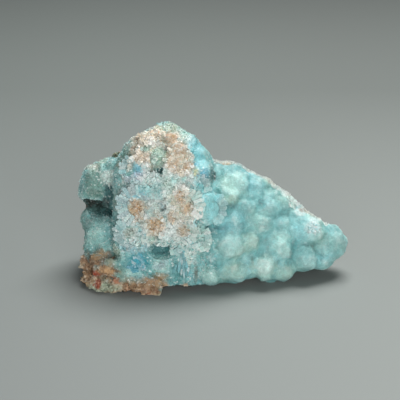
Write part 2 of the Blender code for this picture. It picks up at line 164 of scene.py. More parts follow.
# Hollows: (x, y, z), half sizes along X, Y and Z, and the tilt about Y in degrees, in millimetres.
HOLLOWS = [
    (-28.4, 1.4, 16.6, 5, 5, 1.9, 8), (-12.6, -13.4, 10.4, 3.3, 4.4, 2, 8),
    (-12.7, -9.8, 29.6, 0.9, 2, 0.9, 0), (1.1, -7.4, 25.4, 0.7, 2.6, 2.6, 8),
    (-20.8, 10.6, 22, 2.6, 2.4, 1.7, 24), (3, 14, 13, 3.6, 3, 1.8, -28),
]

# Feet that the stone rests on: the middle (x, y) and the radius of each, and how high the middles of
# these flattened balls lie and how far they reach down from there, in millimetres.
FEET = [(-25.5, -7.8, 3.6), (-15, -10.6, 2.6), (14, -4.4, 3.2), (-9, 9.4, 3.8), (6, 6.4, 2.4)]
FOOT_HEIGHT = 1.4
FOOT_DEPTH = 2.6

# Where the crust is missing and the matrix is bare, in millimetres: behind the ridge, low down at the
# left end, along the ledge in front of the knob, and underneath. The crust thins out over EDGE, and
# whatever lies within ON_BALL of a botryoid's ball is part of it.
BARE_BEHIND = 3.4
BARE_END = (-22.5, 7.6)
BARE_LEDGE = (-11.5, 3.8)
BARE_UNDER = 1
EDGE = 1.5
ON_BALL = 0.35

# Relief of the broken matrix: the sizes of its large and small facets, how fast the noise changes that
# leans them, how steeply they lean, how high they stand as a share of their size, and the height and
# size of the lumps that cross them.
FACET_SIZES = (6.5, 2.8)
FACET_NOISE = 1.3
FACET_LEAN = 0.7
FACET_LIMIT = 0.2
LUMP_HEIGHT = 0.5
LUMP_SIZE = 8

# Relief of the crust: the size and height of its bumps and of its slow swells, in millimetres.
BUMP_SIZE = 2.6
BUMP_HEIGHT = 0.1
SWELL_SIZE = 3
SWELL_HEIGHT = 0.4

# Blades: their spacing round a rim, width, how far they stand above the break and reach behind it,
# in millimetres, their reach from the middle as shares of the break's radius, and their taper.
BLADE_SPACING = 1.2
BLADE_WIDTH = 1.15
BLADE_TOP = 0.3
BLADE_DEPTH = 2.2
BLADE_REACH = (0.52, 1.1)
BLADE_TAPER = 0.86

# How the blades of a fan differ: the swing and the lean in degrees, and the shares of each size.
FAN_SEED = 7
SWING = (-4, 4)
LEAN = (-3, 7)
WIDTH_SHARE = (0.85, 1.25)
REACH_SHARE = (0.95, 1.05)
TOP_SHARE = (0.2, 1.2)

# The crystals that a blade of a fan is made of: their seed, how many lie side by side, how far they
# spread, the wedge at their tips as a share of half their width, their reach, and the spans of their
# reach, width and height. LOBE crystals make one rounded lobe, whose ends are notched.
MIX_SEED = 3
BLADE_PARTS = 2
PART_SPREAD = 1.6
WEDGE = 0.4
LOBE = 4
LOBE_NOTCH = 0.2
PART_REACH = 1.03
PART_REACH_SHARE = (0.96, 1)
PART_WIDTH_SHARE = (1.2, 1.6)
PART_TOP_SHARE = (0.3, 0.9)

# Colours of a fan: the painted light and shade of a lobe's first and last crystal, so that each lobe
# looks lit at one end and shaded at the other, how far the lobe decides on a crystal's colour, how much
# of the rim's colour the first one and the others take, how much of the skin's, and how white the
# corners of a crystal are (two at its foot, its tip, two beside the tip).
LOBE_SHADE = (1.08, 0.62)
LOBE_MIX = 0.6
LOBE_RIM = (0.5, 0.1)
FAN_FROM_SKIN = 0.45
BLADE_WHITE = [0, 0, 0.25, 0.12, 0.12]

# Fineness of the visible skin: how often a ball's faces are divided, the voxel in millimetres, the
# strength and the passes of the smoothing, and the triangles of the finished skin.
BALL_DIVISIONS = 4
VOXEL = 0.25
SMOOTHING = 0.5
SMOOTHING_PASSES = 16
SKIN_TRIANGLES = 197000

# Fine relief, in millimetres: the small botryoids and the druse of the crust, the grains, the chips and
# the pits of the matrix, and the facets of the knob's packed crystals. A level is where a cell's noise
# neither rises nor sinks.
SMALL_BALLS = 1.5
SMALL_HEIGHT = 0.16
TINY_BALLS = 0.7
TINY_HEIGHT = 0.09
BALL_LEVEL = 0.45
GRAIN = 0.9
GRAIN_HEIGHT = 0.3
GRAIN_LEVEL = 0.4
CHIP = 1.6
PIT_START = 0.25
PIT_DEPTH = 1.6
MOSAIC_SIZES = (1.7, 0.8)

# Blades on the breaks: how many go round, their length and the height of their steps in millimetres,
# how uneven they are, how far apart in the noise two breaks lie, and the same for their colours.
BLADES_ROUND = 26
BLADE_LENGTH = 1.7
STEP_HEIGHT = 0.2
STEP_UNEVEN = 0.2
BREAK_APART = 3.7
STREAK_LENGTH = 2.2
STREAK_CELLS = 1.6

# The first OPEN_BREAKS of the breaks show their crystals; the last is a smooth dome. A point belongs to
# a break within BREAK_SLACK millimetres of its plane. The other spans are shares of its radius.
OPEN_BREAKS = 13
BREAK_SLACK = 1.2
BREAK_EDGE = (0.95, 1.12)
STEP_EDGE = (0.9, 1.15)
NO_BREAK = 9.0

# Where the skin is smooth: how far its relief is calmed, how far plain spots are calm, and how far they
# are closed to broken crystals. ON_RELIEF stands in for ON_BALL in the fine relief and the colours.
# The skin is set back by the insets, in millimetres, so that its crystals keep to the solid's outline.
CALM = 0.5
PLAIN_CALM = 0.7
PLAIN_CLOSED = 0.9
ON_RELIEF = 0.8
INSET_CRUST = 0.2
INSET_BROKEN = 0.4

# The camera: the point it looks at in millimetres, its height above the horizon in degrees, its lens
# and sensor, the picture's width in pixels, the size of one pixel at that point, also in millimetres,
# and where the camera begins to see, in metres.
AIM = (-3.15, -0.42, 19)
ELEVATION = 20
LENS = 120
SENSOR = 36
PICTURE = 400
PIXEL = 0.2434
CLIP_START = 0.01

# The colours of the stone, as they look in daylight (red, green and blue out of 255).
# Of these, "deep" and "dark" serve as painted shade in creases, crevices and hollows, and "teal",
# "pale" and "white" serve partly as painted shade and painted light.
COLOURS = {
    "crust": (143, 201, 200), "pale": (184, 224, 214), "sky": (130, 202, 212),
    "bright": (150, 218, 222), "blue": (100, 176, 198), "vivid": (34, 148, 160),
    "teal": (88, 156, 156), "deep": (38, 92, 96), "moss": (92, 124, 104),
    "sage": (170, 194, 172), "white": (236, 244, 240), "lavender": (190, 200, 214),
    "steel": (142, 170, 178), "frost": (164, 200, 207), "cream": (232, 216, 192),
    "tan": (204, 166, 122), "sand": (174, 146, 112), "ochre": (168, 136, 90),
    "pink": (214, 170, 140), "peach": (216, 184, 156), "brown": (122, 92, 66),
    "rust": (160, 70, 42), "dark": (26, 34, 26), "lemon": (218, 220, 178),
    "grey": (180, 186, 172),
}

# How each break is coloured, in the order of BREAKS: its core, how far the core reaches, the two
# colours of the blades round it, and the colour of its rim.
BREAK_COLOURS = [
    ("tan", 0.4, "frost", "steel", "pale"), ("grey", 0.42, "crust", "frost", "white"),
    ("tan", 0.6, "sage", "grey", "white"), ("cream", 0.3, "sage", "white", "white"),
    ("ochre", 0.42, "white", "sage", "white"), ("sky", 0.2, "sky", "frost", "white"),
    ("pale", 0.2, "crust", "pale", "white"), ("sage", 0.2, "frost", "sky", "white"),
    ("sage", 0.3, "pale", "sage", "white"), ("white", 0.3, "pale", "crust", "pale"),
    ("crust", 0.2, "pale", "crust", "pale"), ("tan", 0.8, "cream", "tan", "cream"),
    ("cream", 0.8, "cream", "tan", "white"), ("sky", 0.7, "frost", "bright", "pale"),
]

# Where the knob's crystals are broken open, as the camera sees it: the middle, and the reach to the
# side and up, in pixels of the picture.
FACE_ZONES = [
    ("left half", 142, 208, 26, 36), ("right half", 178, 204, 26, 38), ("upper left", 148, 176, 24, 16),
    ("lower middle", 162, 236, 34, 12), ("right of the vug", 186, 256, 9, 12),
    ("above the blue", 134, 246, 15, 7),
]
CAP_ZONES = [("cap", 158, 145, 31, 22), ("right of the cap", 177, 155, 14, 18)]

# In the same way, where the crust is smooth and unbroken, where the left end is rounded off, and where
# small plain spots lie among the crystals.
SMOOTH_ZONES = [
    ("sky dome", 212, 205, 14, 22), ("right side of the knob", 200, 153, 9, 15),
    ("bright blue", 134, 262, 12, 8), ("hollow", 96, 203, 14, 11), ("vug", 161, 251, 10, 6),
]
ROUND_ZONES = [("shoulder", 93, 178, 14, 15), ("lower lump", 94, 226, 12, 11)]
PLAIN_SPOTS = [
    ("small dome", 171, 137, 7, 7), ("tan patch, upper", 179, 151, 8, 9),
    ("tan patch, lower", 176, 164, 7, 5), ("smooth grey green", 146, 148, 4, 4),
    ("dark hole", 160, 171, 5, 4), ("grey green middle", 158, 156, 7, 9),
    ("teal spot", 128, 177, 4, 7), ("blue spot of the knob", 137, 169, 5, 5),
    ("blue band", 144, 193, 12, 6),
]

# The crystals of the broken face and of the cap, and the grains of the matrix: colours, and the share
# of each. COARSE_SHARE is how much the coarse cells count against the fine, CAP_CELLS are the sizes of
# the cap's cells in millimetres, and CELL_SPREAD sets the cells' random values apart.
FACE_PALETTE = [
    ("white", 0.17), ("pale", 0.25), ("sage", 0.15), ("sky", 0.16), ("lavender", 0.03), ("crust", 0.17),
    ("cream", 0.07),
]
CAP_PALETTE = [
    ("cream", 0.34), ("tan", 0.05), ("white", 0.2), ("sage", 0.15), ("pink", 0.06), ("grey", 0.2),
]
MATRIX_PALETTE = [
    ("sand", 0.28), ("tan", 0.1), ("brown", 0.3), ("ochre", 0.08), ("cream", 0.08), ("pink", 0.1),
    ("grey", 0.06),
]
COARSE_SHARE = 0.55
CAP_CELLS = (1, 0.5)
CELL_SPREAD = 7

# Soft lumps that swell from the front, on the wing, the small dome, the shoulder and the lower left
# lump: what each one is, its middle, and its reach to the side and up, in pixels.
LUMPS = [
    ("top lump", 236, 169, 10, 7), ("beside the crevice", 222, 172, 8, 9),
    ("bright lump", 234, 185, 15, 14), ("lump under it", 231, 201, 8, 6),
    ("right of the bright lump", 257, 189, 10, 12), ("below the bright lump", 246, 206, 9, 7),
    ("green lump on the ridge", 267, 181, 6, 5), ("blue lump", 278, 204, 16, 11),
    ("below the blue lump", 287, 222, 11, 7), ("middle of the wing", 265, 225, 10, 9),
    ("left of the middle", 238, 224, 11, 10), ("wide lump", 229, 245, 15, 14),
    ("greenish lump", 250, 242, 9, 10), ("tall lump", 279, 248, 13, 16),
    ("palest lump", 265, 269, 11, 11), ("right of the palest", 284, 273, 10, 9),
    ("right end", 305, 258, 12, 14), ("right end, low", 323, 264, 9, 9),
    ("right upper lump", 309, 231, 16, 13), ("beside the tip", 326, 247, 9, 8),
    ("small dome", 171, 137, 6, 6), ("tip", 338, 240, 10, 16),
    ("below the sky dome", 211, 252, 8, 13), ("flat patch at the bottom", 236, 272, 17, 9),
    ("lowest left lump", 209, 276, 10, 9), ("left of the palest", 252, 260, 8, 7),
    ("light below the dome", 222, 222, 7, 6), ("on the ridge", 296, 212, 7, 5),
    ("shoulder lump", 94, 178, 14, 14), ("sparkling patch", 111, 179, 6, 8),
    ("lower lump", 95, 225, 12, 11),
]

# How much wider than its reach a lump spreads, how far it bulges as a share of its smaller reach, and
# the size, in millimetres, and seed of the noise that warps it. The wing starts at WING_START along X
# and is smoothed between the lumps, in passes, down to WING_BACK along Y.
LUMP_SPREAD = 1.3
LUMP_BULGE = 0.42
LUMP_WARP = 0.3
LUMP_NOISE = ((1.8, 91), (4, 93))
WING_START = (-1, 2)
WING_PASSES = 60
WING_BACK = (2.5, 4.5)

# Marks of colour on the front: what each one marks, its middle, and its reach to the side and up, in
# pixels, the colour and its strength. A later mark lies on top of an earlier one. Some are painted
# shade or painted light, as the comments among them say.
MARKS = [
    # the knob's cap, from the left
    ("left of the cap, brown", 138, 134, 5, 4, "tan", 0.8),
    ("left of the cap, cream", 146, 139, 9, 7, "cream", 0.8),
    ("left edge, pink brown", 131, 153, 4, 7, "brown", 0.5),
    ("left slope of the knob", 126, 158, 5, 10, "moss", 0.6),
    ("left slope of the cap", 137, 138, 4, 8, "sand", 0.5),
    ("below the cap, cream", 139, 157, 8, 6, "cream", 0.8),
    ("smooth grey green", 146, 148, 4, 4, "sage", 0.8),
    ("white crust of the cap", 152, 144, 4, 4, "white", 0.7),
    ("small dome", 171, 137, 7, 7, "peach", 1),
    ("shade of the small dome", 171, 137, 7, 7, "sand", 0.25),
    ("heart of the small dome", 172, 136, 3, 3, "ochre", 0.6),
    # painted shade in the nook beside the small dome
    ("nook beside the dome", 162, 141, 4, 4, "moss", 0.4),
    ("green top", 171, 127, 12, 6, "sage", 0.8),
    ("middle of the cap", 159, 156, 9, 10, "sage", 0.9),
    ("tan patch, upper", 179, 151, 9, 9, "cream", 1),
    ("tan patch, lower", 176, 164, 7, 6, "cream", 1),
    ("heart of the tan patch, upper", 180, 151, 7, 8, "sand", 0.6),
    ("heart of the tan patch, lower", 175, 164, 6, 5, "sand", 0.6),
    # painted shade in the hole
    ("dark hole", 160, 171, 3, 3, "dark", 0.9),
    ("round the hole", 155, 167, 7, 4, "moss", 0.25),
    ("white under the hole", 165, 178, 6, 4, "white", 0.6),
    ("left edge under the cap", 128, 167, 5, 4, "cream", 0.5),
    # the knob's right side
    ("light top right", 187, 135, 7, 6, "pale", 0.8),
    ("white top right", 189, 140, 5, 5, "white", 0.6),
    ("smooth right side", 195, 147, 9, 11, "sky", 0.7),
    # painted shade that darkens the knob's right side, where the key light falls
    ("calmer right side", 197, 150, 8, 9, "teal", 0.25),
    ("lower right side", 202, 164, 8, 9, "sky", 0.6),
    # painted highlight along the edge
    ("white edge", 201, 143, 3, 8, "white", 0.8),
    ("blue spot", 195, 164, 4, 3, "blue", 0.6),
    ("yellow sliver", 196, 172, 2, 5, "lemon", 0.9),
    # painted shade that darkens the lower right side, where the key light falls
    ("calmer lower right side", 206, 162, 6, 6, "teal", 0.4),
    ("deep blue below", 204, 176, 6, 7, "blue", 1),
    # painted shade in the nook below the knob
    ("nook below the knob", 207, 180, 8, 6, "deep", 0.45),
    ("beside the crevice", 224, 168, 5, 8, "teal", 0.6),
    # painted shade in the crevice
    ("dark crevice", 213, 174, 3, 8, "deep", 1),
    ("dark of the crevice", 214, 176, 2, 5, "dark", 0.9),
    ("band below the crevice", 206, 187, 7, 6, "teal", 0.6),
    ("sky dome", 210, 203, 9, 17, "bright", 0.95),
    # the left end
    ("behind the shoulder", 116, 155, 5, 4, "moss", 0.9),
    ("shoulder, green", 102, 161, 7, 5, "sage", 0.7),
    ("shoulder, grey pink", 95, 168, 5, 4, "grey", 0.7),
    ("shoulder lump", 94, 180, 12, 12, "moss", 0.6),
    ("edge of the shoulder", 93, 194, 12, 4, "moss", 0.5),
    ("shoulder, speckled", 92, 166, 8, 4, "grey", 0.8),
    # painted highlight: the sparkle of the patch
    ("sparkling patch", 111, 178, 9, 8, "white", 0.7),
    ("tan spot", 121, 165, 5, 3, "tan", 0.7),
    ("teal spot", 128, 177, 4, 6, "teal", 0.7),
    ("blue spot of the knob", 137, 169, 5, 5, "blue", 0.7),
    ("grey violet", 137, 176, 5, 4, "lavender", 0.8),
    ("blue band", 144, 193, 11, 6, "bright", 0.8),
    # painted shade on the knob's left side wall
    ("deep side", 109, 193, 5, 15, "deep", 1),
    ("green side", 109, 214, 4, 9, "deep", 0.7),
    # painted shade in the hollow
    ("hollow", 96, 201, 13, 9, "dark", 1),
    ("floor of the hollow", 101, 210, 9, 4, "dark", 0.6),
    ("left of the hollow", 87, 201, 7, 8, "dark", 0.9),
    ("right of the hollow", 106, 206, 5, 9, "dark", 1),
    # painted light on the lower lump, which the fill leaves dark
    ("lower lump", 95, 224, 11, 12, "pale", 0.4),
    ("flank", 96, 240, 12, 8, "pale", 0.4),
    # the foot
    ("foot", 99, 266, 18, 15, "brown", 0.6),
    ("foot, pale edge", 104, 288, 16, 5, "sage", 0.7),
    ("ledge", 146, 284, 20, 8, "brown", 0.45),
    ("foot, upper", 100, 258, 13, 8, "brown", 0.6),
    ("foot, upper tan", 99, 255, 8, 6, "tan", 0.7),
    ("foot, rust", 95, 273, 6, 3, "rust", 1),
    ("foot, rust streak", 98, 284, 3, 5, "rust", 1),
    ("foot, round the rust", 103, 270, 9, 4, "tan", 0.5),
    ("foot, lower rust", 97, 286, 3, 3, "rust", 0.8),
    ("foot, orange", 109, 272, 6, 4, "tan", 0.8),
    ("foot, olive nook", 116, 254, 6, 4, "moss", 0.8),
    ("foot, dark corner", 87, 256, 5, 6, "brown", 0.7),
    ("foot, green grey", 111, 262, 6, 5, "sage", 0.5),
    ("foot, moss edge", 121, 273, 5, 8, "moss", 0.7),
    ("start of the ledge", 129, 281, 7, 4, "ochre", 0.5),
    ("bright blue", 136, 262, 13, 9, "vivid", 0.9),
    ("bright blue, right", 145, 258, 6, 6, "vivid", 0.5),
    ("blue above it", 134, 250, 6, 4, "frost", 0.6),
    ("pale strip", 132, 273, 9, 3, "pale", 0.6),
    ("lower rim of the blue", 124, 266, 6, 6, "teal", 0.4),
    ("tan ledge, left", 142, 284, 14, 5, "sand", 0.6),
    ("tan ledge, right", 161, 277, 8, 4, "ochre", 0.7),
    ("end of the ledge", 161, 284, 7, 5, "sand", 0.9),
    # painted shade in the vug, and painted light in its middle
    ("vug", 161, 250, 10, 6, "deep", 0.8),
    ("light in the vug", 165, 248, 4, 3, "teal", 0.9),
    ("pale block", 162, 266, 8, 6, "pale", 0.9),
    ("pale above the blue", 128, 247, 9, 4, "frost", 0.5),
    ("pale left of the vug", 146, 247, 5, 5, "frost", 0.6),
    ("pale right of the vug", 178, 250, 6, 6, "frost", 0.6),
    ("teal fibres", 178, 270, 9, 14, "teal", 0.9),
    ("white beside the fibres", 184, 259, 6, 8, "pale", 0.6),
    ("brown crack", 196, 274, 2, 9, "brown", 0.6),
    # the cells of the knob
    ("warm right half", 184, 207, 15, 18, "cream", 0.6),
    ("white below it", 172, 232, 14, 8, "white", 0.5),
    ("right of that, pale", 199, 233, 8, 9, "pale", 0.7),
    ("between the cells", 141, 223, 5, 5, "moss", 0.35),
    ("under the large cell", 116, 219, 4, 5, "teal", 0.5),
    ("green above them", 160, 186, 13, 11, "pale", 0.5),
    ("inside the large cell", 137, 211, 11, 13, "cream", 0.4),
    ("green left of the middle", 150, 208, 7, 10, "sage", 0.3),
    ("blue at the right", 198, 192, 7, 14, "bright", 0.6),
    ("core of the large cell", 136, 212, 7, 9, "tan", 0.8),
    ("core of the left cell", 130, 234, 7, 6, "grey", 0.5),
    ("core of the middle cell", 155, 228, 9, 8, "tan", 0.7),
    ("orange core, top", 179, 196, 5, 5, "tan", 0.9),
    ("orange core, right", 188, 209, 7, 6, "tan", 0.6),
    ("orange core, left", 172, 218, 4, 5, "tan", 0.8),
    ("olive core", 183, 231, 6, 6, "ochre", 0.7),
    # the wing
    ("orange on the ridge", 227, 163, 6, 3, "tan", 1),
    ("rust on the ridge", 226, 162, 3, 2, "rust", 0.7),
    # painted shade that darkens the top lump, which faces the light
    ("top lump", 236, 169, 11, 7, "teal", 0.7),
    # painted shade in the creases round the bright lump
    ("crease beside the dome", 229, 210, 4, 9, "teal", 0.7),
    ("crease under the bright lump", 240, 206, 14, 5, "teal", 0.6),
    ("right of that crease", 257, 203, 9, 6, "teal", 0.5),
    ("crease left of the bright lump", 219, 188, 4, 9, "teal", 0.7),
    ("bright lump", 234, 183, 13, 12, "pale", 0.6),
    ("lower left of the bright lump", 225, 195, 6, 6, "teal", 0.6),
    ("lump under it", 231, 200, 8, 5, "sage", 0.5),
    ("lump right of it", 256, 188, 9, 7, "sky", 0.4),
    ("green lump on the ridge", 268, 180, 5, 4, "sage", 0.7),
    ("blue lump", 278, 204, 15, 11, "teal", 0.42),
    ("upper edge of the blue lump", 274, 191, 11, 5, "teal", 0.55),
    ("right of the blue lump", 296, 219, 8, 6, "teal", 0.7),
    ("upper right of the wing", 253, 193, 12, 8, "teal", 0.2),
    ("ridge, upper", 285, 194, 4, 4, "white", 0.7),
    ("ridge, middle", 292, 202, 4, 5, "white", 0.8),
    ("ridge, lower", 300, 212, 6, 4, "white", 0.8),
    ("ridge, end", 315, 219, 8, 3, "white", 0.6),
    ("brown on the ridge", 303, 210, 5, 2, "brown", 0.7),
    ("right upper lump", 308, 226, 12, 10, "bright", 0.4),
    # painted highlight: the sparkle of the spot
    ("sparkling spot", 313, 228, 8, 7, "white", 0.6),
    # painted shade in the creases under and beside the blue lump
    ("crease under the blue lump", 280, 216, 12, 3, "teal", 0.5),
    ("crease left of it", 262, 201, 3, 5, "teal", 0.6),
    ("middle of the wing", 245, 218, 14, 8, "teal", 0.35),
    ("wide lump", 229, 245, 16, 15, "pale", 0.3),
    ("greenish lump", 251, 243, 9, 11, "sage", 0.4),
    ("tall lump", 279, 248, 13, 17, "pale", 0.4),
    ("palest lump", 265, 268, 12, 12, "pale", 0.9),
    ("heart of the palest lump", 264, 266, 8, 8, "white", 0.3),
    ("right of the palest", 284, 272, 10, 8, "sage", 0.4),
    ("flat patch at the bottom", 236, 271, 14, 9, "sage", 0.4),
    ("lowest left lump", 208, 275, 9, 8, "pale", 0.6),
    ("lumps of the right end", 305, 258, 13, 15, "teal", 0.35),
    # painted shade in the crease below the sky dome
    ("crease below the sky dome", 209, 229, 8, 3, "deep", 0.4),
    ("light below the dome", 224, 229, 6, 5, "sky", 0.5),
    # painted light on the shaded underside of the right lumps
    ("underside of the right lumps", 313, 270, 12, 5, "pale", 0.7),
    ("top edge of the tip", 333, 229, 7, 4, "teal", 0.6),
    ("top of the wing", 254, 179, 8, 6, "teal", 0.4),
    ("middle of the wing, plain", 264, 224, 6, 6, "teal", 0.5),
    # painted shade in the creases and nooks of the wing
    ("crease right of the tall lump", 292, 252, 2.5, 12, "deep", 0.45),
    ("crease left of the tall lump", 267, 246, 2, 9, "deep", 0.25),
    ("crease at the bright lump", 230, 206, 8, 2.5, "deep", 0.45),
    ("crease beside the dome, low", 221, 228, 8, 2.5, "deep", 0.45),
    ("nook above the middle", 261, 202, 3, 3, "deep", 0.6),
    ("nook in the middle", 241, 226, 4, 3, "deep", 0.4),
    ("crease under the right upper lump", 311, 244, 9, 2.5, "deep", 0.4),
    ("crease left of the palest", 252, 263, 2.5, 8, "moss", 0.4),
    ("crease right of the palest", 277, 262, 3, 5, "deep", 0.3),
    ("crease in the right end", 322, 254, 2, 7, "deep", 0.35),
    ("crease at the right", 293, 246, 3, 10, "teal", 0.5),
    ("tip", 335, 240, 12, 15, "teal", 0.35),
]

# A mark's depth along the line of sight and the width of its border, as shares of its reach, and its
# uneven outline: the strength, size in millimetres and seed of each noise, and the reach in pixels
# from which it counts in full. OFF_STONE is how far away a mark is that misses the stone, and
# MARK_DUST is how grains thin a mark out.
MARK_DEPTH = 1.6
MARK_BORDER = 0.35
WANDER = ((0.35, 1.1, 51), (0.2, 1.1, 57))
WANDER_FULL = 9
OFF_STONE = 9.0
MARK_DUST = (0.82, 0.3)

# How far the border between crust and matrix drifts, in millimetres, and the painted shade that darkens
# the crust towards the foot: by how much, and between which heights in millimetres.
BORDER_DRIFT = 3.5
BASE_SHADE = 0.5
BASE_REACH = (1, 6)

# Sprays of blades on the front: the middle in pixels, the reach in millimetres, the first and the last
# direction and the lift in degrees, how many blades, their width in millimetres, and the colours at the
# middle and at the ends.
SPRAYS = [
    ("bright blue fibres", 147, 268, 5.4, 110, 190, 0, 24, 1.2, "vivid", "blue"),
    ("pale block", 163, 268, 2.8, 60, 180, 6, 10, 1.2, "frost", "pale"),
    ("teal fibres", 183, 252, 7, 245, 285, 3, 50, 0.6, "sky", "teal"),
    ("blue prisms, upper left", 130, 186, 3.4, 60, 120, 8, 14, 0.9, "teal", "lavender"),
    ("blue band", 133, 194, 5, -12, 8, 3, 8, 1.3, "sky", "frost"),
    # painted highlight: white blades for the sparkle of the patch
    ("sparkling patch", 110, 178, 2.4, 0, 360, 30, 60, 0.5, "pale", "white"),
    ("right of the vug", 188, 251, 2.4, 190, 350, 12, 24, 0.8, "white", "pale"),
    ("above the foot", 117, 254, 3, 40, 165, 12, 30, 0.7, "sage", "pale"),
    ("under the cap", 150, 176, 2.6, 200, 340, 12, 24, 0.8, "pale", "white"),
    ("lower rim of the face", 177, 238, 3.6, 250, 330, 10, 28, 0.6, "pale", "white"),
    ("left of the vug", 146, 236, 3.2, 200, 290, 10, 20, 0.7, "pale", "white"),
    # painted highlight: white blades for the sparkle of the spot
    ("sparkling spot of the wing", 313, 227, 2.4, 0, 360, 20, 60, 0.4, "bright", "white"),
    ("white crystals on the ridge", 292, 202, 2.6, 0, 360, 20, 40, 0.4, "pale", "white"),
    ("right rim of the face", 192, 222, 3.2, -80, 60, 6, 18, 0.7, "bright", "pale"),
]

# How the blades of a spray differ: their seed, the spans of their start and length as shares of the
# reach, of their width, of their thickness in millimetres and of their brightness, the spread of
# their tilt in degrees, how far their place and chance decide on their colour, how white they are,
# from how far above the skin is sought and how far down, and how deep they are sunk in it.
SPRAY_SEED = 41
SPRAY_START = (0.1, 0.6)
SPRAY_LENGTH = (0.3, 0.6)
SPRAY_WIDE = (0.5, 1.3)
SPRAY_THICK = (0.2, 0.5)
SPRAY_BRIGHT = (0.75, 1.15)
SPRAY_TILT = 6
SPRAY_MIX = (0.6, 0.4)
SPRAY_PALER = 0.6
SPRAY_SEEK = (3, 6)
SPRAY_SUNK = (0.3, 0.1)

# The noise that the colours of the skin follow, by the size in millimetres and the seed of each: slow
# and patchy for the crust; slow, patchy, brown, rusty and green for the matrix; slow and sky blue for
# the broken face; cream and white for the ridge. Then the seeds of the grains of crust and face, and
# the size and the seed of those in the marks.
CRUST_FIELDS = ((6, 0.0), (2.4, 5))
MATRIX_FIELDS = ((7, 11), (2.6, 17), (0.9, 23), (4, 31), (5, 41))
FACE_FIELDS = ((3.4, 81), (3, 87))
RIDGE_FIELDS = ((3, 77), (1.6, 79))
CRUST_GRAINS = 13
FACE_GRAINS = 9
MARK_GRAINS = (0.5, 33)

# Colour of the skin: the size of its grains in millimetres, and how far calm crust has fewer of them.
# The border of the matrix drifts by noise of one size and three seeds. That border, the ridge and the
# cores of the breaks are uneven by a strength, a size in millimetres and a seed each, and SPECKLE gives
# the same three for all the colours at the end.
DUST_SIZE = 0.55
SUGAR_CALM = 0.75
DRIFT_SIZE = 2.6
DRIFT_SEEDS = (61, 63, 67)
BORDER_SPAN = (0.2, 0.8)
BORDER_NOISE = (0.35, 0.9, 69)
RIDGE_NOISE = (0.6, 1.4, 73)
CORE_NOISE = (0.16, 1.3, 3)
SPECKLE = (0.12, 0.6, 71)

# The broken face fades where the skin turns away from the front. In shares of a break's radius, where
# its blades end and how soft the border of its core is; then how the grains thin the core out.
FRONT_SPAN = (-0.5, 0)
WITHIN_BREAK = (0.98, 1.12)
CORE_BORDER = 0.12
CORE_DUST = (0.4, 0.5)

# Painted light and shade that follow the shape of the skin, lighter on its lumps and darker in its
# creases: the passes that smooth the skin it is compared with, for the fine relief and the broad, and
# how strongly each counts.
FINE_PASSES = 8
BROAD_PASSES = 70
FINE_GAIN = 2.2
BROAD_GAIN = 0.55

# Crystals strewn over the skin: how many, their seed, the span of their length in millimetres and how
# far they lean from the skin's normal; then the three sizes of each as shares of its length.
DRUSE = (24000, 11, (0.15, 0.42), 0.55)
DRUSE_SHAPE = (0.75, 0.6, 1)
MOSAIC = (3600, 17, (0.3, 0.95), 0.9)
MOSAIC_SHAPE = (0.8, 0.6, 0.8)
RIM = (4200, 23, (0.3, 1), 0.5)
RIM_SHAPE = (0.4, 0.25, 0.7)

# Their colours: how bright they are against the skin, how white the whitest are, and between which
# brightnesses of the skin white crystals begin to stand on it.
DRUSE_BRIGHT = 0.2
DRUSE_WHITE = 0.7
MOSAIC_BRIGHT = (0.8, 1.3)
MOSAIC_WHITE = 0.6
RIM_WHITE = (0.3, 0.95)
LIT = (0.1, 0.35)

# Grains of the matrix: how many, their seed, size in millimetres, unevenness and brightness, and the
# very small weight that the crust has for them.
GRAIN_COUNT = 7000
GRAIN_SEED = 31
GRAIN_SIZES = (0.25, 0.75)
GRAIN_SHAPE = (0.6, 1.2)
GRAIN_BRIGHT = (0.7, 1.35)
GRAIN_FLOOR = 1e-6

# Small blades on the breaks: how many, their seed, the spans of their three sizes in millimetres, of
# their place as a share of the break's area and of their brightness, the middle and the spread of
# their lean and of their swing in degrees, how white they are, from how far above the break's plane
# the skin is sought and how far from the plane it may lie, in millimetres, and how deep they are sunk
# in it: backwards as a share of their length, and down in millimetres.
BLADE_COUNT = 1500
BLADE_SEED = 5
BLADE_SIZES = ((0.6, 1.5), (0.4, 0.9), (0.2, 0.4))
BLADE_PLACE = (0.2, 1.05)
BLADE_BRIGHT = (0.75, 1.2)
BLADE_LEAN = (3, 7)
BLADE_SWING = (0, 16)
BLADE_PALER = 0.5
BLADE_SEEK = (3, 1.6)
BLADE_SUNK = (0.5, 0.06)

# The broken ridge of the wing runs through the first RIDGE_POINTS corners of its block. In millimetres
# from it, where its colour fades, and where its white crystals thin out.
RIDGE_POINTS = 7
RIDGE_WIDTH = (1.2, 2.3)
RIM_WIDTH = (0.8, 2.4)

# The backdrop: where its colour changes from near to far and from left to right, in metres, and its
# colours, which paint its shade: darker far away, and near the camera darker on the left. Then its
# form: the radius of the floor and the bend, and the height of the wall, in metres.
BACKDROP_REACH = (-0.08, 0.17)
BACKDROP_SIDES = (-0.05, 0.05)
NEAR_LEFT = (141, 146, 144)
NEAR_RIGHT = (155, 160, 157)
FAR_LEFT = (121, 127, 124)
FAR_RIGHT = (119, 124, 121)
STAGE_FLOOR = 0.6
STAGE_CURVE = 0.3
STAGE_HEIGHT = 0.9
STAGE_STEPS = 10
STAGE_SIDES = 64

# Lights: place and size in millimetres, and power in watts. The sky's colour and strength.
LIGHTS = [("key", (80, 150, 432), 260, 2.75), ("fill", (70, -580, 120), 420, 3.5)]
SKY_COLOUR = (0.95, 0.98, 1)
SKY_STRENGTH = 0.07

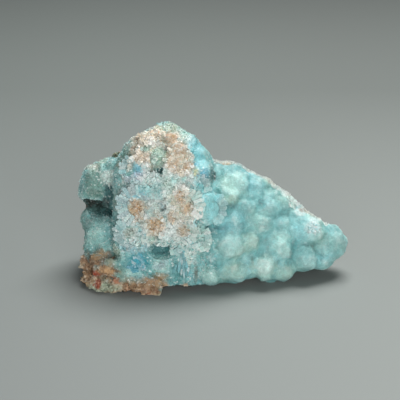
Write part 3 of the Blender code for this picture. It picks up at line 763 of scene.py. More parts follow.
# The material of each piece, in the order in which the pieces are made: its name, roughness, the share
# of light that goes under the surface, the size of the mottling in millimetres, and the strength of the
# painted glints and pit shade, unless the skin decides on it.
LOOKS = {
    "stone": ("crust and matrix", 0.5, 0.25, 0.3),
    "fans": ("large blades", 0.35, 0.3, 0.35, 0.3),
    "blades": ("small blades", 0.32, 0.2, 0.3, 0.7),
    "druse": ("druse", 0.35, 0.2, 0.2, 0.7),
    "mosaic": ("mosaic", 0.4, 0.2, 0.2, 0.7),
    "sprays": ("sprays", 0.32, 0.25, 0.3, 0.2),
    "rim": ("ridge crystals", 0.35, 0.2, 0.2, 0.7),
    "grains": ("grains", 0.75, 0.0, 0.2, 0.3),
}

# Shared by the materials: the part of the noise that counts, the shades of the mottling, the cells'
# size against it, the random values of the cells that get a painted glint (white) or the painted shade
# of a tiny pit and how much they do, and how much of this painted sparkle is left on calm crust and on
# the matrix.
NOISE_SPAN = (0.3, 0.7)
MOTTLE = (0.86, 1.14)
SUGAR_SIZE = 1.3
GLINTS = (0.92, 0.96, 0.0, 0.6)
PIT_SHADE = (0.04, 0.08, 0.4, 0.0)
PIT_SHADE_COLOUR = (0.3, 0.4, 0.4, 1.0)
SPARKLE_CALM = 0.2
SPARKLE_BARE = 0.4

# The gloss and the bump: how far the roughness swings, what a glint takes off and the matrix adds, how
# far the cells stand, the bump's strength and depth, and the light that goes under the surface.
ROUGH_SWING = 0.12
GLINT_GLOSS = 0.35
MATRIX_DULL = 0.25
CELL_BUMP = -0.8
BUMP_STRENGTH = 0.8
BUMP_DEPTH = 0.16
UNDER_RADIUS = (0.6, 1.0, 1.0)
UNDER_DEPTH = 0.9
CRYSTAL_IOR = 1.6

# The gloss of the backdrop's paper.
PAPER_ROUGHNESS = 0.9
PAPER_SPECULAR = 0.1


def surface_at(tree, side, across, up):
    """The point and the outward normal of the blocks' surface, seen from one side."""
    start, way = {
        "front": ((across, -FAR, up), (0, 1, 0)),
        "back": ((across, FAR, up), (0, -1, 0)),
        "left": ((-FAR, across, up), (1, 0, 0)),
        "right": ((FAR, across, up), (-1, 0, 0)),
    }[side]
    point, normal, _, _ = tree.ray_cast(Vector(start), Vector(way))
    return point, -normal if normal.dot(Vector(way)) > 0 else normal


def add_block(mesh, corners):
    """Adds the convex hull of some corners to a bmesh."""
    points = [mesh.verts.new(corner) for corner in corners]
    made = bmesh.ops.convex_hull(mesh, input=points)
    inner = [item for item in made["geom_interior"] if isinstance(item, bmesh.types.BMVert)]
    bmesh.ops.delete(mesh, geom=inner, context="VERTS")


def add_ball(mesh, centre, half_sizes, tilt=0.0):
    """Adds an ellipsoid to a bmesh, tilted about Y by some degrees."""
    place = Matrix.Translation(centre) @ Matrix.Rotation(math.radians(tilt), 4, "Y")
    size = Matrix.Diagonal((*half_sizes, 1))
    bmesh.ops.create_icosphere(mesh, subdivisions=BALL_DIVISIONS, radius=1, matrix=place @ size)


def add_lump(mesh, tree, side, across, up, spread, bulge):
    """Adds a botryoid sunk in the surface, so that it spreads and bulges as asked."""
    point, normal = surface_at(tree, side, across, up)
    radius = (spread * spread + bulge * bulge) / (2 * bulge)
    centre = point + normal * (bulge - radius)
    add_ball(mesh, centre, [radius] * 3)
    return centre, radius


def facing(turn, tilt):
    """The frame of a break: its local X runs right, Y up along the face, Z out of it."""
    sideways = Matrix.Rotation(math.radians(turn), 4, "Z")
    return sideways @ Matrix.Rotation(math.radians(90 - tilt), 4, "X")


def break_place(tree, across, up, stand, turn, tilt):
    """The place of a break's middle with its frame."""
    point, _ = surface_at(tree, "front", across, up)
    return Matrix.Translation(point) @ facing(turn, tilt) @ Matrix.Translation((0, 0, stand))


def add_break(mesh, tree, across, up, radius, stand, turn, tilt):
    """Adds the half of a ball that is left behind its flat break."""
    place = break_place(tree, across, up, stand, turn, tilt)
    half = bmesh.new()
    bmesh.ops.create_icosphere(half, subdivisions=BALL_DIVISIONS, radius=radius)
    everything = half.verts[:] + half.edges[:] + half.faces[:]
    bmesh.ops.bisect_plane(half, geom=everything, plane_no=(0, 0, 1), clear_outer=True)
    bmesh.ops.holes_fill(half, edges=half.edges)
    half.transform(place)
    copy = bpy.data.meshes.new("break")
    half.to_mesh(copy)
    half.free()
    mesh.from_mesh(copy)
    bpy.data.meshes.remove(copy)


def read(values, attribute):
    """Reads a property of a mesh's vertices, such as their places, as rows of three numbers."""
    flat = np.empty(len(values) * 3, np.float32)
    values.foreach_get(attribute, flat)
    return flat.reshape(-1, 3)


def points_of(item):
    """The vertices of an object's mesh, in millimetres."""
    return read(item.data.vertices, "co") / MM


def normals_of(item):
    """The normals at the vertices of an object's mesh."""
    return read(item.data.vertex_normals, "vector")


def write_points(mesh, points):
    """Moves a mesh's vertices."""
    mesh.vertices.foreach_set("co", points.astype(np.float32).ravel())
    mesh.update()


def new_object(name, data):
    """Links a mesh, a lamp or a camera to the scene as an object."""
    made = bpy.data.objects.new(name, data)
    bpy.context.scene.collection.objects.link(made)
    return made


def from_bmesh(name, mesh, unit=MM):
    """Turns a bmesh, in millimetres unless another unit is given, into an object."""
    bmesh.ops.scale(mesh, vec=(unit, unit, unit), verts=mesh.verts)
    data = bpy.data.meshes.new(name)
    mesh.to_mesh(data)
    mesh.free()
    return new_object(name, data)


def modify(item, kind, **settings):
    """Replaces an object's mesh with what a modifier makes of it."""
    modifier = item.modifiers.new(kind, kind)
    for key, value in settings.items():
        setattr(modifier, key, value)
    graph = bpy.context.evaluated_depsgraph_get()
    finished = bpy.data.meshes.new_from_object(item.evaluated_get(graph))
    item.modifiers.clear()
    item.data = finished


def fuse(item):
    """Makes one closed skin of whatever overlaps in an object."""
    modify(item, "REMESH", mode="VOXEL", voxel_size=VOXEL * MM)


def make_mass():
    """The blocks and all that grew on them in one skin; then the blocks' surface, and the balls."""
    mesh = bmesh.new()
    for corners in BLOCKS.values():
        add_block(mesh, corners)
    tree = BVHTree.FromBMesh(mesh)
    balls = [add_lump(mesh, tree, side, *lump) for side, lumps in GROWTHS.items() for lump in lumps]
    for *place, _, _ in BREAKS:
        add_break(mesh, tree, *place)
    for x, y, radius in FEET:
        add_ball(mesh, (x, y, FOOT_HEIGHT), (radius, radius, FOOT_DEPTH))
    stone = from_bmesh("stone", mesh)
    fuse(stone)
    modify(stone, "SMOOTH", factor=SMOOTHING, iterations=SMOOTHING_PASSES)
    return stone, tree, balls


def carve_hollows(stone):
    """Cuts the vugs, the crevice and the deep hollow of the left side."""
    mesh = bmesh.new()
    for x, y, z, wide, deep, high, tilt in HOLLOWS:
        add_ball(mesh, (x, y, z), (wide, deep, high), tilt)
    cutter = from_bmesh("hollows", mesh)
    modify(stone, "BOOLEAN", operation="DIFFERENCE", solver="MANIFOLD", object=cutter)
    bpy.data.objects.remove(cutter)


def wing_share(points):
    """How far points belong to the wing, whose crust is soft and smooth, from 0 to 1."""
    return smoothstep(*WING_START, points[:, 0])


def swell_wing(stone):
    """Smooths the front of the wing and the rounded zones, and raises the soft lumps of the front."""
    tree = skin_tree(stone)
    points = points_of(stone)
    front = wing_share(points) * (1 - smoothstep(*WING_BACK, points[:, 1]))
    front = np.maximum(front, zone_share(points, tree, ROUND_ZONES))
    smooth = blur(points, edges_of(stone.data), WING_PASSES)
    points += (smooth - points) * front[:, None]
    heights = np.zeros(len(points))
    warp = sum((LUMP_WARP * field(points, *noises) for noises in LUMP_NOISE), 1)
    for _, across, down, wide, high in LUMPS:
        off = warp / LUMP_SPREAD * spot_distance(points, tree, across, down, wide, high)
        heights = np.maximum(heights, LUMP_BULGE * min(wide, high) * PIXEL * (1 - off**2))
    write_points(stone.data, points * MM)
    displace(stone, heights * (1 - smoothstep(*WING_BACK, points[:, 1])))


def matrix_share(points, balls, on_ball=ON_BALL):
    """How far points belong to the broken matrix, from 0 on the crust and its botryoids to 1."""
    x, y, z = points.T
    behind = y - BARE_BEHIND
    end = np.minimum(BARE_END[0] - x, BARE_END[1] - z)
    ledge = np.minimum(BARE_LEDGE[0] - x, BARE_LEDGE[1] - z)
    under = BARE_UNDER - z
    share = np.maximum.reduce([behind, end, ledge, under]) / EDGE
    for centre, radius in balls:
        off = np.abs(np.linalg.norm(points - np.array(centre), axis=1) - radius)
        share = np.minimum(share, (off - on_ball) / on_ball)
    return np.clip(share, 0, 1)


def facet(point, size):
    """The height of flat, leaning fracture facets of about this size, in millimetres."""
    middle = noise.voronoi(point / size)[1][0] * size
    middle_noise = middle * FACET_NOISE
    lean = Vector([noise.noise(middle_noise + Vector((FAR * axis, 0, 0))) for axis in range(3)])
    limit = FACET_LIMIT * size
    return max(-limit, min(limit, FACET_LEAN * lean.dot(point - middle)))


def matrix_relief(point):
    """Facets, steps and lumps of the broken matrix, in millimetres."""
    lumps = LUMP_HEIGHT * noise.fractal(point / LUMP_SIZE, 1, 2, 2)
    return lumps + sum(facet(point, size) for size in FACET_SIZES)


def crust_relief(point):
    """The low bumps between the larger botryoids, in millimetres."""
    from_middle = noise.voronoi(point / BUMP_SIZE)[0][0]
    swell = noise.fractal(point / SWELL_SIZE, 1, 2, 2)
    return BUMP_HEIGHT * (0.5 - from_middle) + SWELL_HEIGHT * swell


def displace(stone, heights):
    """Moves each vertex along its normal by a height in millimetres."""
    points = points_of(stone)
    moved = points + normals_of(stone) * heights[:, None]
    write_points(stone.data, moved * MM)


def each(points, rule):
    """Works out a rule at every point."""
    return np.array([rule(Vector(point)) for point in points.tolist()], np.float32)


def roughen(stone, balls):
    """Gives the crust its low bumps, and the broken surfaces their facets and lumps."""
    points = points_of(stone)
    share = matrix_share(points, balls)
    heights = np.zeros(len(points), np.float32)
    bare = share > 0
    crusted = share < 1
    heights[bare] += share[bare] * each(points[bare], matrix_relief)
    heights[crusted] += (1 - share[crusted]) * each(points[crusted], crust_relief)
    displace(stone, heights)
    fuse(stone)


def break_frames(tree):
    """The middle, the radius and the axes (right, up, out) of every break."""
    frames = []
    for across, up, radius, stand, turn, tilt, _, _ in BREAKS:
        point, _ = surface_at(tree, "front", across, up)
        axes = np.array(facing(turn, tilt).to_3x3().transposed())
        frames.append((np.array(point) + axes[2] * stand, radius, axes))
    return frames


def break_places(points, frames):
    """For each point, the open break nearest to it, and its distance from the middle and its angle."""
    best = np.full(len(points), NO_BREAK)
    which = np.zeros(len(points), int)
    angle = np.zeros(len(points))
    for index, (middle, radius, axes) in enumerate(frames[:OPEN_BREAKS]):
        local = (points - middle) @ axes.T
        away = np.hypot(local[:, 0], local[:, 1]) / radius
        away = away + np.clip(np.abs(local[:, 2]) - BREAK_SLACK, 0, None) / radius
        nearer = away < best
        best[nearer] = away[nearer]
        which[nearer] = index
        angle[nearer] = np.arctan2(local[nearer, 1], local[nearer, 0])
    return which, best, angle


def smoothstep(low, high, values):
    """Rises smoothly from 0 to 1 between two values."""
    t = np.clip((values - low) / (high - low), 0, 1)
    return t * t * (3 - 2 * t)


def detail(stone, balls, frames, tree):
    """The fine relief: druse on the crust, crystals on the knob's face, and grains in the matrix."""
    points = points_of(stone)
    share = matrix_share(points, balls, ON_RELIEF)
    which, away, angle = break_places(points, frames)
    opened = face_share(points, tree, away)
    face = opened * (1 - share)
    crust = (1 - share) * (1 - opened) * (1 - CALM * calm_share(points, tree))
    heights = crust * each(points, druse_relief) + share * each(points, grain_relief)
    near = face > 0
    heights[near] += face[near] * each(points[near], mosaic_relief)
    radii = np.array([radius for _, radius, _ in frames])[which]
    places = zip(angle.tolist(), (away * radii).tolist(), which.tolist())
    steps = np.array([blade_step(*place) for place in places])
    heights += (1 - smoothstep(*STEP_EDGE, away)) * face * steps
    displace(stone, heights - INSET_CRUST - (INSET_BROKEN - INSET_CRUST) * np.maximum(share, face))


def face_share(points, tree, away):
    """How far points lie on the broken crystals of the knob, from 0 to 1."""
    zones = zone_share(points, tree, FACE_ZONES + CAP_ZONES)
    share = np.maximum(1 - smoothstep(*BREAK_EDGE, away), zones)
    return share * (1 - PLAIN_CLOSED * zone_share(points, tree, PLAIN_SPOTS + SMOOTH_ZONES))


def calm_share(points, tree):
    """How far points lie where the crust is smooth: on the wing, in zones and in spots, from 0 to 1."""
    plain = PLAIN_CALM * zone_share(points, tree, PLAIN_SPOTS)
    return np.maximum.reduce([wing_share(points), plain, zone_share(points, tree, SMOOTH_ZONES)])


def zone_share(points, tree, zones):
    """How far points lie in any of some zones that are given in pixels of the front view."""
    wander = wandering(points)
    share = np.zeros(len(points))
    for _, *spot in zones:
        share = np.maximum(share, spot_share(points, tree, wander, *spot))
    return share


def wandering(points):
    """Noise that makes the outline of a spot of colour uneven."""
    return sum(uneven(points, *noises) for noises in WANDER)


def seen_at(tree, across, down):
    """The point of the stone that a pixel shows and the normal there, or None off the stone."""
    place, right, upward, ahead = camera_axes()
    spread = SENSOR / LENS / PICTURE
    way = ahead + right * (across - PICTURE / 2) * spread + upward * (PICTURE / 2 - down) * spread
    hit, normal, _, _ = tree.ray_cast(Vector(place), Vector(way).normalized())
    return (None, None) if hit is None else (np.array(hit), np.array(normal))


def spot_share(points, tree, wander, across, down, wide, high):
    """How far points lie in the spot where one pixel's line of sight meets the stone."""
    off = spot_distance(points, tree, across, down, wide, high)
    off = off + wander * min(1, min(wide, high) / WANDER_FULL)
    return 1 - smoothstep(1 - MARK_BORDER, 1 + MARK_BORDER, off)


def spot_distance(points, tree, across, down, wide, high):
    """How far points are from the middle of a spot, as a share of its reach."""
    _, right, upward, ahead = camera_axes()
    hit, _ = seen_at(tree, across, down)
    if hit is None:
        return np.full(len(points), OFF_STONE)
    local = points - hit
    side = local @ right / (wide * PIXEL)
    rise = local @ upward / (high * PIXEL)
    depth = local @ ahead / (MARK_DEPTH * max(wide, high) * PIXEL)
    return np.sqrt(side**2 + rise**2 + depth**2)


def mosaic_relief(point):
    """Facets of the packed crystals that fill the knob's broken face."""
    return sum(facet(point, size) for size in MOSAIC_SIZES)


def druse_relief(point):
    """Small botryoids and the druse on them."""
    small = noise.voronoi(point / SMALL_BALLS)[0][0]
    tiny = noise.voronoi(point / TINY_BALLS)[0][0]
    return SMALL_HEIGHT * (BALL_LEVEL - small) + TINY_HEIGHT * (BALL_LEVEL - tiny)


def grain_relief(point):
    """Facets, pits and chips of the matrix."""
    grain = noise.voronoi(point / GRAIN)[0][0]
    pit = PIT_DEPTH * max(0, noise.noise(point / CHIP) - PIT_START)
    return mosaic_relief(point) + GRAIN_HEIGHT * (GRAIN_LEVEL - grain) - pit


def blade_step(angle, away, index):
    """How high the end of a blade stands at one place of a break."""
    place = Vector((angle * BLADES_ROUND / math.tau, away / BLADE_LENGTH, index * BREAK_APART))
    step = noise.cell(place + Vector((STEP_UNEVEN * noise.noise(place), 0, 0)))
    return STEP_HEIGHT * (step - 0.5)


def thin_out(stone, triangles):
    """Reduces the skin to about this many triangles."""
    count = sum(len(face.vertices) - 2 for face in stone.data.polygons)
    modify(stone, "DECIMATE", ratio=min(1, triangles / count))


def skin_tree(stone):
    """The stone's skin, ready to be met by rays, in millimetres."""
    mesh = bmesh.new()
    mesh.from_mesh(stone.data)
    bmesh.ops.scale(mesh, vec=(1 / MM, 1 / MM, 1 / MM), verts=mesh.verts)
    tree = BVHTree.FromBMesh(mesh)
    mesh.free()
    return tree


def edges_of(mesh):
    """The pairs of vertices that edges join."""
    flat = np.empty(len(mesh.edges) * 2, np.int32)
    mesh.edges.foreach_get("vertices", flat)
    return flat.reshape(-1, 2)


def blur(values, edges, passes):
    """Averages each row of values with its neighbours', over and over."""
    count = len(values)
    ends = np.concatenate([edges[:, 0], edges[:, 1]])
    others = np.concatenate([edges[:, 1], edges[:, 0]])
    degree = np.bincount(ends, minlength=count)
    for _ in range(passes):
        columns = [np.bincount(ends, values[others, c], count) / degree for c in range(values.shape[1])]
        values = np.stack(columns, axis=1)
    return values


def shown(colour):
    """The linear light of a colour given as red, green and blue out of 255, by the sRGB curve."""
    share = np.array(colour) / 255
    return np.where(share <= 0.04045, share / 12.92, ((share + 0.055) / 1.055) ** 2.4)


def linear(colour):
    """The linear light of a named colour."""
    return shown(COLOURS[colour])


def blend(colours, colour, share):
    """Mixes a named colour into rows of colours."""
    return colours + (linear(colour) - colours) * np.clip(share, 0, 1)[:, None]


def layered(colours, *layers):
    """Lays named colours over rows of colours, one after another.

    A layer is the colour, its strength, the two values between which it comes up, and what it follows.
    """
    for colour, strength, low, high, values in layers:
        colours = blend(colours, colour, strength * smoothstep(low, high, values))
    return colours


def uneven(points, strength, size, seed):
    """Smooth noise of some strength at every point."""
    return strength * field(points, size, seed)


def field(points, size, offset=0.0):
    """Smooth noise at every point, from -1 to 1, over about this size. Each offset gives another."""
    shift = Vector((offset, offset * 0.7, -offset))
    return each(points / size, lambda point: noise.noise(point + shift))


def speckle(points, size, offset=0.0):
    """One even random value, from 0 to 1, for each small cell of the stone."""
    shift = Vector((offset, -offset, offset * 0.3))

    def cell(point):
        return noise.cell(noise.voronoi(point + shift)[1][0] * CELL_SPREAD)

    return each(points / size, cell)


def crust_colours(points, calm, convex, broad):
    """Blue-green crust, with painted light on top of each botryoid and painted shade in its creases and
    towards the foot.
    """
    slow, patch = (field(points, *noises) for noises in CRUST_FIELDS)
    dust = speckle(points, DUST_SIZE, CRUST_GRAINS)
    sugary = 1 - SUGAR_CALM * calm
    colours = layered(
        np.tile(linear("crust"), (len(points), 1)),
        ("sky", 0.4, 0, 0.5, slow),
        ("sage", 0.4, 0, 0.5, -slow),
        ("pale", 0.3, 0.05, 0.5, patch),
        ("teal", 0.15, 0.1, 0.5, -patch),
        # painted light on the tops of the botryoids and painted shade in the creases, by the curvature
        ("pale", 0.5, 0.05, 0.9, broad),
        ("teal", 0.85, 0.05, 1, -broad),
        ("white", 0.4, 0.1, 0.8, convex),
        ("teal", 0.45, 0.1, 0.9, -convex),
        ("white", 0.45 * sugary, 0.8, 0.96, dust),
        ("teal", 0.35 * sugary, 0.8, 0.96, 1 - dust),
    )
    # painted shade: the crust darkens towards the foot
    return blend(colours, "teal", BASE_SHADE * (1 - smoothstep(*BASE_REACH, points[:, 2])))


def matrix_colours(points, convex):
    """Packed grains of tan and cream matrix, stained brown and rusty, with scraps of green crust."""
    slow, patch, brown, rust, green = (field(points, *noises) for noises in MATRIX_FIELDS)
    return layered(
        packed(points, MATRIX_PALETTE),
        ("pink", 0.3, -0.3, 0.4, slow + 0.5 * patch),
        ("grey", 0.25, 0.1, 0.6, -patch),
        ("brown", 0.7, 0.05, 0.5, brown + 0.3 * slow),
        ("rust", 0.5, 0.35, 0.6, rust),
        # painted light on the matrix's ridges and painted shade, browner, in its hollows, by the
        # curvature
        ("cream", 0.5, 0.1, 0.7, convex),
        ("brown", 0.7, 0.1, 0.7, -convex),
        ("sage", 0.4, 0.15, 0.5, green),
    )


def mosaic(points, size, palette):
    """Every small cell of the stone in one colour of a palette, by the shares given there."""
    table = np.array([linear(colour) for colour, _ in palette])
    limits = np.cumsum([share for _, share in palette])[:-1]
    return table[np.searchsorted(limits, speckle(points, size))]


def packed(points, palette, sizes=MOSAIC_SIZES):
    """The colours of packed crystals, coarse and fine."""
    coarse, fine = (mosaic(points, size, palette) for size in sizes)
    return coarse * COARSE_SHARE + fine * (1 - COARSE_SHARE)


def face_colours(points, cap, which, away, angle, convex):
    """The knob's broken face: packed crystals, with the cores, blades and rims of its botryoids."""
    slow, sky = (field(points, *noises) for noises in FACE_FIELDS)
    colours = layered(
        packed(points, FACE_PALETTE),
        ("crust", 0.6, 0.05, 0.45, slow),
        ("sage", 0.5, 0.05, 0.45, -slow),
        ("sky", 0.5, 0.1, 0.45, sky),
    )
    colours += (packed(points, CAP_PALETTE, CAP_CELLS) - colours) * cap[:, None]
    wave = uneven(points, *CORE_NOISE)
    turn = angle * BLADES_ROUND / math.tau
    places = np.stack([turn, away * STREAK_LENGTH, which * BREAK_APART], axis=1)
    blade = each(places, lambda place: noise.cell(place * STREAK_CELLS))
    dust = speckle(points, DUST_SIZE, FACE_GRAINS)
    for index, (core, reach, first, second, rim) in enumerate(BREAK_COLOURS):
        here = which == index
        edge = away[here] + wave[here]
        within = 1 - smoothstep(*WITHIN_BREAK, edge)
        base = layered(
            colours[here],
            (first, 0.4 * within, 0.35, 0.65, 1 - blade[here]),
            (second, 0.4 * within, 0.35, 0.65, blade[here]),
            (rim, 0.5 * within, 0.72, 0.92, edge),
        )
        inner = 1 - smoothstep(reach - CORE_BORDER, reach + CORE_BORDER, edge)
        colours[here] = blend(base, core, inner * (CORE_DUST[0] + CORE_DUST[1] * dust[here]))
    # painted light on the face's ridges and painted shade in its hollows, by the curvature
    return layered(colours, ("white", 0.55, 0.1, 0.6, convex), ("deep", 0.45, 0.15, 0.7, -convex))


def camera_axes():
    """The camera's place and axes (right, up, ahead), in millimetres, before the stone is centred."""
    tilt = math.radians(ELEVATION)
    ahead = np.array([0, math.cos(tilt), -math.sin(tilt)])
    upward = np.array([0, math.sin(tilt), math.cos(tilt)])
    aim = np.array(AIM) + np.array([*MIDDLE, 0])
    return aim - ahead * (PIXEL * PICTURE * LENS / SENSOR), np.array([1, 0, 0]), upward, ahead


def marked(colours, points, tree):
    """Lays the marks of colour on the front, each where its pixel's line of sight meets the stone."""
    wander = wandering(points)
    dust = speckle(points, *MARK_GRAINS)
    for _, *spot, colour, strength in MARKS:
        share = spot_share(points, tree, wander, *spot)
        colours = blend(colours, colour, strength * share * (MARK_DUST[0] + MARK_DUST[1] * dust))
    return colours


def paint(stone, balls, frames, tree):
    """Gives each vertex of the skin its colour, and marks where it is bare matrix and where it is calm.

    Returns the colours, and for each vertex how far it is matrix, how far it is broken open, and how
    far it is calm.
    """
    mesh = stone.data
    points = points_of(stone)
    normals = normals_of(stone)
    convex, broad = (
        ((points - blur(points, edges_of(mesh), passes)) * normals).sum(axis=1) * gain
        for passes, gain in ((FINE_PASSES, FINE_GAIN), (BROAD_PASSES, BROAD_GAIN))
    )
    drift = np.stack([field(points, DRIFT_SIZE, seed) for seed in DRIFT_SEEDS], axis=1)
    border = matrix_share(points + BORDER_DRIFT * drift, balls, ON_RELIEF)
    border = smoothstep(*BORDER_SPAN, border + uneven(points, *BORDER_NOISE))
    which, away, angle = break_places(points, frames)
    opened = face_share(points, tree, away) * smoothstep(*FRONT_SPAN, -normals[:, 1])
    cap = zone_share(points, tree, CAP_ZONES)
    calm = calm_share(points, tree)
    colours = crust_colours(points, calm, convex, broad)
    colours += (face_colours(points, cap, which, away, angle, convex) - colours) * opened[:, None]
    colours += (matrix_colours(points, convex) - colours) * border[:, None]
    colours = marked(colours, points, tree)
    ridge = 1 - smoothstep(*RIDGE_WIDTH, ridge_distance(points) + uneven(points, *RIDGE_NOISE))
    cream, white = (field(points, *noises) for noises in RIDGE_FIELDS)
    colours = layered(
        colours, ("cream", 0.75 * ridge, -0.3, 0.3, cream), ("white", 0.8 * ridge, -0.2, 0.4, white)
    )
    strength, *grain = SPECKLE
    colours *= 1 + strength * (speckle(points, *grain) - 0.5)[:, None]
    put(mesh, "tint", colours)
    put(mesh, "bare", np.repeat(border[:, None], 3, axis=1))
    put(mesh, "calm", np.repeat(calm[:, None], 3, axis=1))
    return colours, border, opened, calm


def put(mesh, name, colours):
    """Stores a colour at each vertex."""
    layer = mesh.color_attributes.new(name, "FLOAT_COLOR", "POINT")
    flat = np.ones((len(colours), 4), np.float32)
    flat[:, :3] = np.clip(colours, 0, 1)
    layer.data.foreach_set("color", flat.ravel())


def scattered(stone, weights, count, chance):
    """Random places on the skin, by its vertices' weights: points, normals and nearest vertices."""
    stone.data.calc_loop_triangles()
    flat = np.empty(len(stone.data.loop_triangles) * 3, np.int32)
    stone.data.loop_triangles.foreach_get("vertices", flat)
    corners = flat.reshape(-1, 3)
    points = points_of(stone)
    a, b, c = (points[corners[:, i]] for i in range(3))
    area = np.linalg.norm(np.cross(b - a, c - a), axis=1)
    odds = area * weights[corners].mean(axis=1)
    picked = chance.choice(len(corners), count, p=odds / odds.sum())
    u, v = chance.random(count), chance.random(count)
    over = u + v > 1
    u[over], v[over] = 1 - u[over], 1 - v[over]
    u, v = u[:, None], v[:, None]
    places = a[picked] * (1 - u - v) + b[picked] * u + c[picked] * v
    near = corners[picked, 0]
    return places, normals_of(stone)[near], near


def unit(vectors):
    """Rows of vectors, each of length 1."""
    return vectors / np.linalg.norm(vectors, axis=1, keepdims=True)


def axes_along(ways, chance):
    """Axes for crystals whose third axis runs along a way and that are turned at random round it."""
    side = unit(np.cross(ways, chance.normal(size=ways.shape)))
    return np.stack([side, np.cross(ways, side), ways], axis=1)


def grow(name, form, places, axes, sizes, colours):
    """Makes one piece of many crystals of the same form."""
    corners, faces = np.array(form[0], float), np.array(form[1])
    local = corners[None] * np.array(sizes)[:, None, :]
    points = np.array(places)[:, None] + np.einsum("nki,nij->nkj", local, np.array(axes))
    every = faces[None] + (np.arange(len(places)) * len(corners))[:, None, None]
    data = bpy.data.meshes.new(name)
    data.from_pydata((points.reshape(-1, 3) * MM).tolist(), [], every.reshape(-1, 3).tolist())
    put(data, "tint", np.repeat(np.array(colours), len(corners), axis=0))
    return new_object(name, data)


# Forms: corners and triangles. A druse crystal is an octahedron with a long point, a blade a plate with
# a wedge at its end, and a grain a rough icosahedron.
POINTED = (
    [(0.5, 0, 0), (0, 0.5, 0), (-0.5, 0, 0), (0, -0.5, 0), (0, 0, 1), (0, 0, -0.5)],
    [(0, 1, 4), (1, 2, 4), (2, 3, 4), (3, 0, 4), (1, 0, 5), (2, 1, 5), (3, 2, 5), (0, 3, 5)],
)
PLATE = (
    [
        (0, -0.5, -0.5), (0, 0.5, -0.5), (0.8, 0.5, -0.5), (1, 0, -0.4), (0.8, -0.5, -0.5),
        (0, -0.5, 0.5), (0, 0.5, 0.5), (0.8, 0.5, 0.5), (1, 0, 0.4), (0.8, -0.5, 0.5),
    ],
    [
        (5, 9, 6), (6, 9, 7), (7, 9, 8), (0, 1, 4), (1, 2, 4), (2, 3, 4), (0, 5, 6), (0, 6, 1),
        (1, 6, 7), (1, 7, 2), (2, 7, 8), (2, 8, 3), (3, 8, 9), (3, 9, 4), (4, 9, 5), (4, 5, 0),
    ],
)


def grain_form():
    """A small icosahedron."""
    mesh = bmesh.new()
    bmesh.ops.create_icosphere(mesh, subdivisions=1, radius=0.5)
    form = [tuple(v.co) for v in mesh.verts], [tuple(v.index for v in f.verts) for f in mesh.faces]
    mesh.free()
    return form


def lit(colours):
    """How far colours are bright enough for white crystals to stand among them."""
    return smoothstep(*LIT, colours.mean(axis=1))


def strewn(stone, weights, count, seed, span, lean):
    """Crystals at random on the skin: the random source, places, ways, nearest vertices and lengths."""
    chance = np.random.default_rng(seed)
    places, normals, near = scattered(stone, weights, count, chance)
    ways = unit(normals + lean * chance.normal(size=normals.shape))
    return chance, places, ways, near, chance.uniform(*span, count)


def add_druse(stone, colours, border, broken, calm):
    """Sugary crystals that stand on the crust."""
    chance, places, ways, near, length = strewn(stone, (1 - border) * (1 - broken), *DRUSE)
    rough = 1 - CALM * calm[near]
    sizes = np.outer(length * rough, DRUSE_SHAPE)
    tints = colours[near] * (1 + DRUSE_BRIGHT * rough * chance.uniform(-1, 1, len(near)))[:, None]
    paler = DRUSE_WHITE * rough * chance.uniform(0, 1, len(near)) ** 4
    tints = blend(tints, "white", paler * lit(colours[near]))
    return grow("druse", POINTED, places, axes_along(ways, chance), sizes, tints)


def add_mosaic(stone, colours, border, broken):
    """Stubby crystals packed over the broken faces of the knob."""
    chance, places, ways, near, length = strewn(stone, (1 - border) * broken, *MOSAIC)
    tints = colours[near] * chance.uniform(*MOSAIC_BRIGHT, (len(near), 1))
    tints = blend(tints, "white", chance.uniform(0, 1, len(near)) ** 4 * MOSAIC_WHITE)
    sizes = np.outer(length, MOSAIC_SHAPE)
    return grow("mosaic", POINTED, places, axes_along(ways, chance), sizes, tints)


def ridge_distance(points):
    """The distance of points from the broken ridge of the wing."""
    ridge = np.array(BLOCKS["wing"][:RIDGE_POINTS], float)
    nearest = np.full(len(points), np.inf)
    for start, end in zip(ridge[:-1], ridge[1:]):
        along = end - start
        share = np.clip((points - start) @ along / (along @ along), 0, 1)
        nearest = np.minimum(nearest, np.linalg.norm(points - start - share[:, None] * along, axis=1))
    return nearest


def add_rim(stone, colours):
    """White crystals along the broken ridge."""
    weights = 1 - smoothstep(*RIM_WIDTH, ridge_distance(points_of(stone)))
    chance, places, ways, near, length = strewn(stone, weights, *RIM)
    tints = blend(colours[near], "white", chance.uniform(*RIM_WHITE, len(near)))
    sizes = np.outer(length, RIM_SHAPE)
    return grow("rim", POINTED, places, axes_along(ways, chance), sizes, tints)


def add_grains(stone, colours, border):
    """Loose-looking grains on the bare matrix."""
    chance = np.random.default_rng(GRAIN_SEED)
    places, normals, near = scattered(stone, border + GRAIN_FLOOR, GRAIN_COUNT, chance)
    sizes = chance.uniform(*GRAIN_SIZES, (GRAIN_COUNT, 1))
    sizes = sizes * chance.uniform(*GRAIN_SHAPE, (GRAIN_COUNT, 3))
    tints = colours[near] * chance.uniform(*GRAIN_BRIGHT, (GRAIN_COUNT, 1))
    return grow("grains", grain_form(), places, axes_along(normals, chance), sizes, tints)


def between(right, upward, angle):
    """The way that lies an angle from one axis towards another."""
    return right * math.cos(angle) + upward * math.sin(angle)


def laid(hit, way, side, out, size, sunk):
    """The place, axes and size of a blade that is sunk in the skin, backwards and down."""
    place = np.array(hit) - way * size[0] * sunk[0] - out * sunk[1]
    return place, [way, side, np.cross(way, side)], size


def glazed(tint, bright, white, most):
    """A blade's colour, brightened and with some white over it; few blades are very white."""
    return tint * bright + (linear("white") - tint) * white**3 * most


